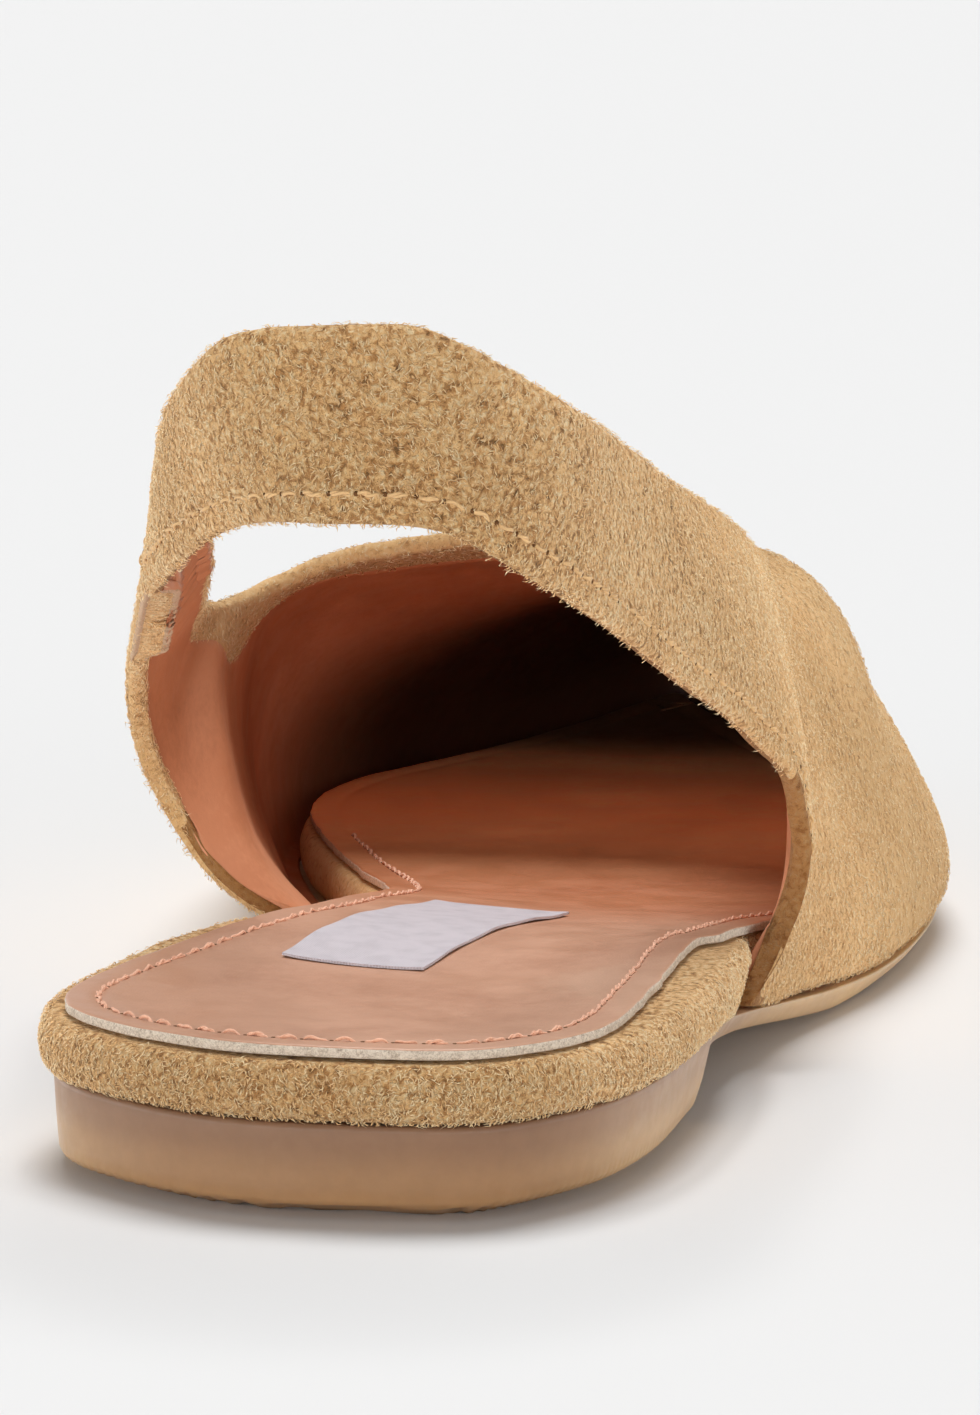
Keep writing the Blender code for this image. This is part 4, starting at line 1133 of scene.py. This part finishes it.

# Soft creases and swells: name, from, to, width and rise in mm
CREASES = (
    ("ball_swell", (138.0, 31.0, 33.0), (148.0, 28.0, 38.0), 8.0, 0.8),
    ("ball_crease", (146.0, 34.5, 28.0), (153.0, 30.0, 33.0), 4.5, -0.9),
    ("joint_fold_1", (163.0, 36.0, 16.0), (159.0, 24.0, 33.0), 3.4, -0.45),
    ("joint_fold_2", (171.0, 33.0, 17.0), (167.0, 20.0, 32.0), 4.0, -0.35),
    ("joint_fold_3", (158.0, -33.0, 18.0), (160.0, -20.0, 34.0), 4.2, -0.45),
    ("joint_fold_4", (170.0, -37.0, 15.0), (171.0, -22.0, 30.0), 3.8, -0.30),
    ("quarter_hollow", (108.0, 33.0, 34.0), (121.0, 32.0, 28.0), 10.0, -0.7),
    ("quarter_rise", (96.0, 34.5, 24.0), (112.0, 36.0, 16.0), 7.0, 0.45),
    ("waist_fold", (128.0, 38.0, 20.0), (140.0, 38.5, 24.0), 4.5, -0.45),
    ("back_soft_1", (2.0, -1.0, 70.0), (1.5, 9.0, 72.0), 5.0, -0.30),
    ("back_soft_2", (30.0, 25.0, 60.0), (44.0, 26.0, 57.0), 6.0, -0.35),
    ("back_soft_3", (55.0, 27.0, 53.0), (66.0, 28.5, 48.0), 6.0, 0.30),
    ("back_soft_4", (74.0, 29.5, 45.0), (90.0, 30.5, 40.0), 7.0, -0.40),
    ("medial_soft", (112.0, -36.0, 25.0), (126.0, -38.0, 20.0), 7.0, -0.6),
    ("vamp_soft_1", (186.0, 10.0, 32.0), (196.0, -12.0, 31.0), 9.0, -0.5),
    ("vamp_soft_2", (206.0, 6.0, 26.0), (212.0, -14.0, 25.0), 8.0, 0.3),
)
amount = folds(wall.grid, CREASES)
flat_grid = wall.grid.reshape(-1, 3)
amount += 0.13 * waves(flat_grid, (34.0, 21.0), 5).reshape(amount.shape)
amount += 0.05 * waves(flat_grid, (8.0, 5.0), 6).reshape(amount.shape)
keep = ramp(np.linspace(0, 1, Wall.ROWS), 1.0, 0.93)[None, :]
# the edge of the strap wavers where the suede was turned and sewn
edge_wave = 0.10 * waves(flat_grid, (5.5, 3.4), 8).reshape(amount.shape) * ramp(np.linspace(0, 1, Wall.ROWS), 0.12, 0.0)[None]
wall.push(amount * keep + edge_wave)
# the quarter's free rear edge stands a little off the footbed
wall.push(folds(wall.grid, (("rear_flare", (84.0, 31.0, 11.0), (86.0, 31.5, 27.0), 9.0, 1.25),)))

throat = np.minimum(
    ramp(wall.around, place("foot_outer_1") - 12, place("foot_outer_2")),
    ramp(wall.around, place("rear_inner_1"), place("rear_inner_3")),
)
free = np.maximum(ramp(wall.around, place("foot_outer_1"), place("rear_outer_4")), ramp(wall.around, place("foot_inner_1"), place("rear_inner_3")))
facing = 1.2 + (3.4 + 5.4 * ramp(wall.grid[:, 0, 0], 122, 152)) * throat + 0.12 * waves(wall.grid[:, 0], (9.0, 4.0), 9) * throat
quarter = ramp(wall.around, place("sling_outer_3"), place("rear_outer_2")) * ramp(wall.around, place("foot_outer_2"), place("rear_outer_4"))
# the inner strap and quarter: suede turned in a little further, down to the foot
medial = ramp(wall.around, place("rear_inner_3"), place("rear_inner_1"))
low_facing = 1.15 + 0.55 * free + 5.5 * quarter + 2.0 * medial
# the quarter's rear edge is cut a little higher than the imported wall's
cut = 1.7 * ramp(wall.around, place("sling_outer_3"), place("rear_outer_1")) * ramp(wall.around, place("rear_outer_4") + 1, place("rear_outer_2") + 3)
wall.length = wall.length - cut
down, depth, kinds = rounded(wall.length, WALL / 2, 1.3, facing, low_facing, quarter, medial)
loft("upper_suede", wall, down, depth, [SUEDE, SUEDE_EDGE_SHADED], kinds, node="upper", slot="upper")

# the lining: flush with the turned edges, and turned in on the sole beside the footbed
base = wall.grid[:, -1]
low_table = np.where(
    wall.around < place("toe"), eased(FOOTBED_LOW_INSET, 2, base[:, 0]), eased(FOOTBED_LOW_INSET, 1, base[:, 0])
)
flange = (np.maximum(low_table - FOOT_IN - WALL - 0.15, 0.02) * (1 - free))[:, None]
top = (facing - 0.18)[:, None]
back = (wall.length - low_facing + 0.18)[:, None]
share = np.linspace(0, 1, 34)[None]
outer_s = top + 0.12 + (back - top - 0.24) * share
shelf = (1 - free)[:, None]
foot_s = np.concatenate([back - 0.04, back + 0.55 * shelf, back + 0.9 * shelf, back + 0.9 * shelf + 0.02, back + 0.5 * shelf, back + 0.35 * shelf, back - 0.1 + 0.2 * shelf], 1)
foot_d = np.concatenate([
    0 * back + 1.36, 0 * back + 1.40, 1.5 + 0.3 * flange, 1.7 + 0.9 * flange, 1.8 + flange, 1.86 + 0.85 * flange, WALL + 0.12 * flange,
], 1)
share = np.linspace(0, 1, 30)[None]
inner_s = (back - 0.25) * (1 - share) + (top + 0.14) * share
down = np.concatenate([outer_s, foot_s, inner_s, top + 0.04, top], 1)
depth = np.concatenate([0 * outer_s + 1.33, foot_d, 0 * inner_s + WALL + 0.01, 0 * top + 1.84, 0 * top + 1.5], 1)
loft("upper_lining", wall, down, depth, [LINING], None, slot="upper")

# ------------------------------------------------------------------ the gathered elastic
e_start, e_end = place("elastic_front") + ELASTIC_GAP / 2, place("elastic_back") - ELASTIC_GAP / 2
band = Wall(np.linspace(e_start - ELASTIC_GAP + 0.02, e_end + ELASTIC_GAP - 0.02, 190), soften=False)
u = band.around - e_start
span = e_end - e_start
fade = ramp(u, -0.5, 2.0) * ramp(u, span + 0.5, span - 2.0)
fade = 0.35 + 0.65 * fade
rows = np.linspace(0, 1, Wall.ROWS)
drift = 0.9 * np.sin(rows[None] * 2.6 + u[:, None] * 0.21) + 0.5 * np.sin(rows[None] * 5.3 + u[:, None] * 0.4)
phase = TAU * (u[:, None] + drift) / 3.5 + 0.8 * np.sin(u[:, None] * 0.35 + 1.0)
gather = 0.24 * np.sin(phase) + 0.10 * np.sin(phase * 2.07 + 1.1 + rows[None] * 2.0)
gather *= ramp(rows, 1.0, 0.62)[None] * 0.9 + 0.1
gather *= 0.75 + 0.35 * waves(band.grid.reshape(-1, 3), (11.0, 6.0), 12).reshape(gather.shape)
ridge = 0.5 * np.exp(-(((rows - 0.27) / 0.055) ** 2)) - 0.30 * np.exp(-(((rows - 0.16) / 0.05) ** 2)) - 0.3 * np.exp(-(((rows - 0.38) / 0.05) ** 2))
second = -0.22 * np.exp(-(((rows - 0.78) / 0.04) ** 2))
band.push((gather + 0.1) * fade[:, None] * (0.45 + 0.55 * np.sin(np.pi * np.clip(rows, 0.03, 0.97)))[None] + (ridge + second)[None] * fade[:, None])
n_e = len(band.around)
L = band.length[:, None]
puff = (WALL + 2.1 * ramp(u, -0.3, 4.5) * ramp(u, span + 0.3, span - 4.5) + 0.05 * np.sin(phase[:, 60]) * fade)[:, None]
share = np.linspace(0, 1, 54)[None]
outer_s = 0.8 + (L - 1.6) * share
# the lower edge, from the outside inwards: a pale ridge, napped suede, and a pale strip at the lining
low = np.array([
    # part of the depth, distance above the lowest line
    (0.03, 0.42), (0.07, 0.16), (0.12, 0.02), (0.17, 0.10), (0.21, 0.20), (0.30, 0.10), (0.42, 0.02), (0.55, 0.0),
    (0.68, 0.04), (0.77, 0.14), (0.81, 0.10), (0.86, 0.04), (0.92, 0.12), (0.97, 0.32),
])
low_s = L - low[None, :, 1]
low_d = low[None, :, 0] * puff
share = np.linspace(0, 1, 24)[None]
inner_s = (L - 0.75) * (1 - share) + 0.95 * share
inner_d = puff * (1 - share) + (WALL + 0.25 * (puff - WALL)) * share
turn = np.linspace(0, np.pi, 9)[1:-1][::-1]
top_s = 0.9 * (1 - np.sin(turn))[None] + 0 * L
top_d = (0.5 - 0.5 * np.cos(turn))[None] * inner_d[:, -1:]
down = np.concatenate([outer_s, low_s, inner_s, top_s], 1)
depth = np.concatenate([0 * outer_s, low_d, inner_d, top_d], 1)
kinds = np.zeros(down.shape[1], int)
kinds[54:58] = 1
kinds[63:67] = 1
kinds[67:91] = 2
loft("elastic_casing", band, down, depth, [SUEDE, EDGE_TAPE, LINING], kinds, node="sling_elastic", slot="sling_elastic")

# ------------------------------------------------------------------ the footbed
def footbed_share(part):
    return lambda a, c: (1 - part) * (sole_top(a) + GAP) + part * footbed_top(a, c)


def soft_inset(part, extra):
    base = mixed_inset(FOOTBED_LOW_INSET, FOOTBED_INSET, ramp(part, 0.15, 0.85), 0.0)

    def inset(along, side):
        side_points = np.stack([along, np.full(len(along), 30.0 * side), np.full(len(along), 8.0 * part)], 1)
        swell = 0.12 * waves(side_points, (26.0, 14.0), 21) + 0.05 * waves(side_points, (6.0, 4.0), 22)
        # a soft fold runs down the rim just before the quarter starts
        fold = np.exp(-(((along - (63.5 + 3.0 * part)) / 3.0) ** 2)) - 0.8 * np.exp(-(((along - (69.0 + 3.0 * part)) / 2.6) ** 2))
        return base(along, side) + extra - swell - (0.35 * fold * np.sin(np.pi * part) if side > 0 else 0.0)

    return inset


FOOTBED_LEVELS = (
    # part of the height, extra inset
    (0.0, 1.5), (0.0, 0.95), (0.05, 0.42), (0.11, 0.12), (0.2, -0.12), (0.32, -0.30), (0.45, -0.36),
    (0.58, -0.33), (0.70, -0.20), (0.80, -0.03), (0.88, 0.18), (0.94, 0.42), (0.985, 0.80), (1.0, 1.35),
)
marks = even_alongs(1.15)
footbed = plate(
    "footbed_suede", marks,
    [(soft_inset(part, extra), footbed_share(part)) for part, extra in FOOTBED_LEVELS],
    (6, 10), [SUEDE_RIM_LIT], None, node="footbed", slot="footbed",
)

# ------------------------------------------------------------------ the sock
def sock_top(along, across):
    return footbed_top(along, across) + GAP + SOCK_THICK


SOCK_CREASES = (
    # from (along, across), to, width, rise: creases in the sock
    ((58.0, 20.0), (70.0, 27.5), 1.6, -0.16),
    ((50.0, 21.5), (66.0, 23.0), 2.4, 0.10),
    ((18.0, -14.0), (25.0, -20.5), 2.0, -0.12),
    ((92.0, -8.0), (96.0, 18.0), 5.0, 0.12),
    ((112.0, -14.0), (117.0, 20.0), 4.5, -0.14),
    ((140.0, -22.0), (146.0, 26.0), 5.0, -0.12),
)


def sock_skin(along, across):
    along, across = np.asarray(along, float), np.asarray(across, float)
    height = sock_top(along, across)
    for start, end, width, rise in SOCK_CREASES:
        start, end = np.array(start), np.array(end)
        line = end - start
        where = np.stack([along, across], -1)
        part = np.clip(((where - start) @ line) / (line @ line), 0, 1)
        away = np.linalg.norm(where - (start + part[..., None] * line), axis=-1)
        height = height + rise * np.exp(-((away / width) ** 2))
    flat = np.stack([along.ravel(), across.ravel(), np.zeros(along.size)], 1)
    height = height + 0.05 * waves(flat, (23.0, 13.0), 31).reshape(along.shape)
    return height


def sock_inset(extra, waver):
    def inset(along, side):
        where = np.stack([along, np.full(len(along), 25.0 * side), np.zeros(len(along))], 1)
        return eased(SOCK_INSET, 2 if side > 0 else 1, along) + extra - waver * (
            0.13 * waves(where, (9.0, 4.6), 33) + 0.07 * waves(where, (2.6, 1.7), 34)
        )

    return inset


STITCH_IN = 3.1
sock_levels = [
    (sock_inset(0.10, 1.0), lambda a, c: sock_top(a, c) - SOCK_THICK),
    (sock_inset(-0.02, 1.1), lambda a, c: sock_top(a, c) - SOCK_THICK + 0.12),
    (sock_inset(0.05, 0.8), lambda a, c: sock_top(a, c) - 0.62),
    (sock_inset(-0.04, 1.1), lambda a, c: sock_top(a, c) - 0.34),
    (sock_inset(0.02, 1.0), lambda a, c: sock_skin(a, c) - 0.12),
    (sock_inset(0.12, 1.0), lambda a, c: sock_skin(a, c) - 0.02),
    (sock_inset(0.34, 0.9), lambda a, c: sock_skin(a, c) + 0.02),
    (sock_inset(STITCH_IN - 1.5, 0.6), lambda a, c: sock_skin(a, c) + 0.03),
    (sock_inset(STITCH_IN - 0.75, 0.3), lambda a, c: sock_skin(a, c) + 0.02),
    (sock_inset(STITCH_IN - 0.35, 0.2), lambda a, c: sock_skin(a, c) - 0.05),
    (sock_inset(STITCH_IN, 0.2), lambda a, c: sock_skin(a, c) - 0.10),
    (sock_inset(STITCH_IN + 0.35, 0.2), lambda a, c: sock_skin(a, c) - 0.05),
    (sock_inset(STITCH_IN + 0.8, 0.2), lambda a, c: sock_skin(a, c) + 0.03),
    (sock_inset(STITCH_IN + 1.7, 0.1), lambda a, c: sock_skin(a, c) + 0.03),
]
plate(
    "sock_leather", even_alongs(1.1), sock_levels, (4, 26), [RAW, SOCK], [0] * 4 + [1] * 9,
    node="insole_sock", slot="insole_sock",
)


def loop_path(inset, height, spacing, lift=0.0):
    """A line round the sole, from the toe's inner side round the heel to its outer side."""
    alongs = np.linspace(0.0, 1.0, 1400)[1:-1]
    sides = []
    for side in (-1, +1):
        base = outline(side, alongs)
        flat = base - outward(side, alongs) * inset(base[:, 0], side)[:, None]
        sides.append(flat)
    heel = np.array([[inset(np.array([0.0]), 1)[0], HEEL_APEX_ACROSS]])
    flat = np.vstack([sides[0][::-1], heel, sides[1]])
    run = run_of(flat)
    at = np.arange(0, run[-1], spacing)
    flat = np.stack([np.interp(at, run, flat[:, k]) for k in range(2)], 1)
    return np.column_stack([flat, height(flat[:, 0], flat[:, 1]) + lift])


path = loop_path(sock_inset(STITCH_IN, 0.2), sock_skin, 0.3, -0.04)
path = path[(path[:, 0] < 158)]
up = np.tile((0.0, 0.0, 1.0), (len(path), 1))
spots, outs = stitches("sock_stitches", path, up, 2.75, 2.45, 0.48, SALMON, "insole_sock", 41, sink=0.30, rise=0.16, slant=0.25)
pits("sock_needle_holes", spots[::2], outs[::2], 0.2, HOLE_SHADE, "insole_sock", -0.03)

# ------------------------------------------------------------------ the blank label
turn = np.radians(LABEL["turn"])
ahead, aside = np.array([np.cos(turn), np.sin(turn)]), np.array([-np.sin(turn), np.cos(turn)])
middle = np.array([LABEL["along"], LABEL["across"]])
long_steps, wide_steps = 60, 20
points, faces, uv = [], [], []
i, j = np.meshgrid(np.linspace(-0.5, 0.5, long_steps + 1), np.linspace(-0.5, 0.5, wide_steps + 1), indexing="ij")
flat = middle + (i * LABEL["length"])[..., None] * ahead + (j * LABEL["width"])[..., None] * aside
# the short end by the heel bulges a little, and the cut ends fray
flat -= (ahead * 0.55)[None, None] * (np.cos(np.pi * j) * ramp(-i, 0.40, 0.5))[..., None]
lift = 0.10 + 0.05 * np.sin(i * 17.0 + j * 3.0) * ramp(-i, 0.1, 0.5) + 0.10 * ramp(np.abs(j), 0.36, 0.5) * (0.5 + 0.5 * np.sin(i * 23 + 2.0))
ground = sock_skin(flat[..., 0], flat[..., 1])
for sheet_lift in (0.05, 0.05 + LABEL_THICK):
    points.append(np.dstack([flat, ground + lift + sheet_lift]).reshape(-1, 3))
    uv.append(np.stack([i.ravel() * LABEL["length"], j.ravel() * LABEL["width"]], 1))
wide = wide_steps + 1
shift = (long_steps + 1) * wide
for a in range(long_steps):
    for b in range(wide_steps):
        c = a * wide + b
        faces += [(c, c + 1, c + wide + 1, c + wide), (c + shift, c + shift + wide, c + shift + wide + 1, c + shift + 1)]
rim = [a * wide for a in range(long_steps)] + [long_steps * wide + b for b in range(wide_steps)]
rim += [a * wide + wide_steps for a in range(long_steps, 0, -1)] + list(range(wide_steps, 0, -1))
faces += [(a, b, b + shift, a + shift) for a, b in zip(rim, rim[1:] + rim[:1])]
make_mesh("label_tape", np.concatenate(points), faces, [TAPE], uv=np.concatenate(uv), sharp=50, node="insole_label", slot="insole_label")

# ------------------------------------------------------------------ the outsole
TREAD_PITCH = 1.05


def tread(along, across):
    """Depth of the fine crosswise grooves: on the heel block and under the forefoot."""
    where = ramp(along, 0.0, 1.0) * ramp(along, HEEL_BLOCK - 1.2, HEEL_BLOCK - 2.4)
    where = where + ramp(along, 118, 122) * ramp(along, 232, 226)
    phase = np.asarray(along) / TREAD_PITCH * TAU
    return 0.30 * where * (0.5 + 0.5 * np.tanh(2.2 * np.sin(phase)) / np.tanh(2.2))


def under(along, across):
    block = ramp(along, HEEL_BLOCK + 0.55, HEEL_BLOCK - 0.15)
    base = sole_under(np.maximum(along, HEEL_BLOCK + 0.01)) * (1 - block)
    return base + tread(along, across)


def sole_inset(height_part, extra):
    def inset(along, side):
        base = eased(SOLE_UNDERCUT, 2 if side > 0 else 1, along)
        where = np.stack([along, np.full(len(along), 30.0 * side), np.full(len(along), 9.0 * height_part)], 1)
        return base * (1 - height_part) + extra + 0.04 * waves(where, (31.0, 17.0), 51)

    return inset


def sole_height(part, lift, groove=0.0):
    def height(along, across):
        low = under(along, across) - tread(along, across) * (1 - groove)
        thick = sole_top(along) - low
        return low + lift * np.minimum(1.0, thick / 8.0) * (1 - part) + thick * part

    return height


fine = [(0.5, HEEL_BLOCK - 0.9, 0.2625), (118.0, 232.0, 0.35), (HEEL_BLOCK - 0.9, HEEL_BLOCK + 1.1, 0.12)]
sole_levels = [
    (sole_inset(0.0, 4.6), sole_height(0.0, 0.0, 1.0)),
    (sole_inset(0.0, 3.9), sole_height(0.0, 0.03, 1.0)),
    (sole_inset(0.0, 2.9), sole_height(0.0, 0.42, 1.0)),
    (sole_inset(0.0, 1.7), sole_height(0.0, 0.78, 1.0)),
    (sole_inset(0.0, 0.75), sole_height(0.0, 1.05, 0.9)),
    (sole_inset(0.0, 0.22), sole_height(0.0, 1.38, 0.6)),
    (sole_inset(0.05, 0.0), sole_height(0.0, 1.85, 0.1)),
    (sole_inset(0.25, 0.0), sole_height(0.22, 1.3)),
    (sole_inset(0.48, 0.0), sole_height(0.46, 0.6)),
    (sole_inset(0.72, 0.0), sole_height(0.72, 0.1)),
    (sole_inset(0.93, 0.0), sole_height(0.93, 0.0)),
    (sole_inset(1.0, 0.10), sole_height(0.985, 0.0)),
    (sole_inset(1.0, 0.38), sole_height(1.0, 0.0)),
]
plate("outsole_rubber", even_alongs(1.3, fine), sole_levels, (12, 6), [RUBBER], None, node="outsole", slot="outsole")

# ------------------------------------------------------------------ seams of the strap
strap_end = place("rear_outer_3") - 3.0
lower_in = 2.7


def edge_path(curve, first, last, inwards, lift):
    chosen = (curve.around >= first) & (curve.around <= last)
    points, normals = curve.at(np.stack([curve.length - inwards], 1))
    return points[chosen, 0] + normals[chosen, 0] * lift, normals[chosen, 0]


path, normals = edge_path(wall, START + 3.0, strap_end, lower_in, 0.0)
spots, outs = stitches("strap_stitches", path, normals, 2.62, 2.15, 0.56, TONAL, "upper", 43, sink=0.34, rise=0.19, slant=0.12)
pits("strap_needle_holes", spots[::2], outs[::2], 0.25, HOLE_SHADE, "upper", 0.10)
path, normals = edge_path(wall, place("rear_inner_3") + 6.0, END - 3.0, lower_in, 0.0)
spots, outs = stitches("inner_stitches", path, normals, 2.62, 2.30, 0.46, TONAL, "upper", 44, sink=0.34, rise=0.05, slant=0.15)
pits("inner_needle_holes", spots[::2], outs[::2], 0.27, HOLE_SHADE, "upper", 0.06)

# the elastic is sewn under the leather's ends with one short row at each end
holes, ways = [], []
for curve, column in ((band, 2.2), (band, span - 2.2)):
    k = int(np.argmin(np.abs(curve.around - e_start - column)))
    rows_at = np.arange(1.6, curve.length[k] - 1.0, 1.35)
    points, normals = curve.at(np.tile(rows_at, (len(curve.around), 1)))
    path_here, normal_here = points[k], normals[k]
    s, o = stitches(f"elastic_stitches_{'front' if column < 5 else 'back'}", path_here, normal_here, 2.1, 1.6, 0.42, TONAL, "sling_elastic", 45, start=0.2, sink=0.3, rise=0.14)
    holes.append(s)
    ways.append(o)
pits("elastic_needle_holes", np.concatenate(holes), np.concatenate(ways), 0.22, HOLE_SHADE, "sling_elastic", 0.12)

# ------------------------------------------------------------------ nap
def strap_side(points, normals):
    return 1.0 * ramp(points[:, 0], 128, 118)


def vamp_side(points, normals):
    return 1.0 * ramp(points[:, 0], 118, 128)


def nap(name, piece, count, seed, weight, main, length, width, lift, material, slot, kinds=(0,), tints=(0.45, 1.0)):
    points, normals = scattered(piece, count, seed, weight, kinds)
    ways = brushed(points, normals, main, 0.75, seed + 1)
    leaves(name, points, normals, ways, length, width, lift, seed + 2, material, *tints, slot)


nap("nap_strap", "upper_suede", 33000, 61, strap_side, (0.25, 0.0, -1.0), 0.95, 0.125, 0.13, NAP, "upper")
nap("nap_vamp", "upper_suede", 24000, 64, vamp_side, (-0.5, 0.0, -1.0), 1.00, 0.14, 0.13, NAP, "upper")
nap("nap_footbed", "footbed_suede", 16000, 67, lambda p, n: (n[:, 2] < 0.93) * (p[:, 2] > sole_top(p[:, 0]) + 0.4) * ramp(p[:, 0], 116, 106) * 1.0,
    (0.2, 0.0, -1.0), 0.95, 0.13, 0.15, NAP, "footbed")
nap("nap_elastic", "elastic_casing", 2400, 70, None, (0.25, 0.0, -1.0), 0.75, 0.12, 0.08, NAP, "sling_elastic")

# ------------------------------------------------------------------ floor, light and camera
floor_mesh = bpy.data.meshes.new("studio_floor")
floor_mesh.from_pydata([(-30, -30, 0), (30, -30, 0), (30, 30, 0), (-30, 30, 0)], [], [(0, 1, 2, 3)])
floor = bpy.data.objects.new("studio_floor", floor_mesh)
bpy.context.scene.collection.objects.link(floor)
floor_material, floor_tree, floor_shader = new_material("studio_white", 0.85, 0.1, (0.755, 0.755, 0.755))
floor_mesh.materials.append(floor_material)

SKY, SKY_RIGHT, SKY_LEFT, SKY_FRONT = 0.20, 2.5, 3.0, 3.7
world = bpy.data.worlds.new("studio")
bpy.context.scene.world = world
world.use_nodes = True
sky = world.node_tree
where = node(sky, "ShaderNodeSeparateXYZ", {"Vector": node(sky, "ShaderNodeTexCoord").outputs["Generated"]})
to_right = maths(sky, "MAXIMUM", maths(sky, "MULTIPLY", where.outputs["X"], -1.0), 0.0)
to_left = maths(sky, "MAXIMUM", where.outputs["X"], 0.0)
to_front = maths(sky, "MAXIMUM", where.outputs["Y"], 0.0)
# the side lights stand low round the shoe, so they reach its walls more than the floor
low_down = node(sky, "ShaderNodeMapRange", {"Value": where.outputs["Z"], "From Min": 0.38, "From Max": 0.04}, interpolation_type="SMOOTHSTEP").outputs["Result"]
to_right, to_left, to_front = (maths(sky, "MULTIPLY", part, low_down) for part in (to_right, to_left, to_front))
strength = maths(sky, "MULTIPLY_ADD", to_right, SKY_RIGHT, SKY)
strength = maths(sky, "MULTIPLY_ADD", to_left, SKY_LEFT, strength)
strength = maths(sky, "MULTIPLY_ADD", to_front, SKY_FRONT, strength)
sky.links.new(maths(sky, "MAXIMUM", strength, 0.02), sky.nodes["Background"].inputs["Strength"])
sky.nodes["Background"].inputs["Color"].default_value = (1.0, 1.0, 1.0, 1)


def sun(name, towards, energy, angle, colour=(1, 1, 1)):
    light = bpy.data.lights.new(name, "SUN")
    light.energy, light.angle, light.color = energy, np.radians(angle), colour
    obj = bpy.data.objects.new(name, light)
    bpy.context.scene.collection.objects.link(obj)
    obj.rotation_euler = Vector(towards).to_track_quat("-Z", "Y").to_euler()
    return obj


sun("key", (-0.04, 0.38, -1.0), 2.85, 34)

camera = bpy.data.cameras.new("photo_view")
camera.sensor_fit, camera.sensor_height, camera.lens = "VERTICAL", 36, 179.84
camera_obj = bpy.data.objects.new("photo_view", camera)
bpy.context.scene.collection.objects.link(camera_obj)
camera_obj.location = (-0.12941, 0.72766, 0.1317)
camera_obj.rotation_euler = Vector((0.1785, -0.9742, -0.1383)).to_track_quat("-Z", "Y").to_euler()
bpy.context.scene.camera = camera_obj
bpy.context.scene.view_settings.view_transform = "Standard"
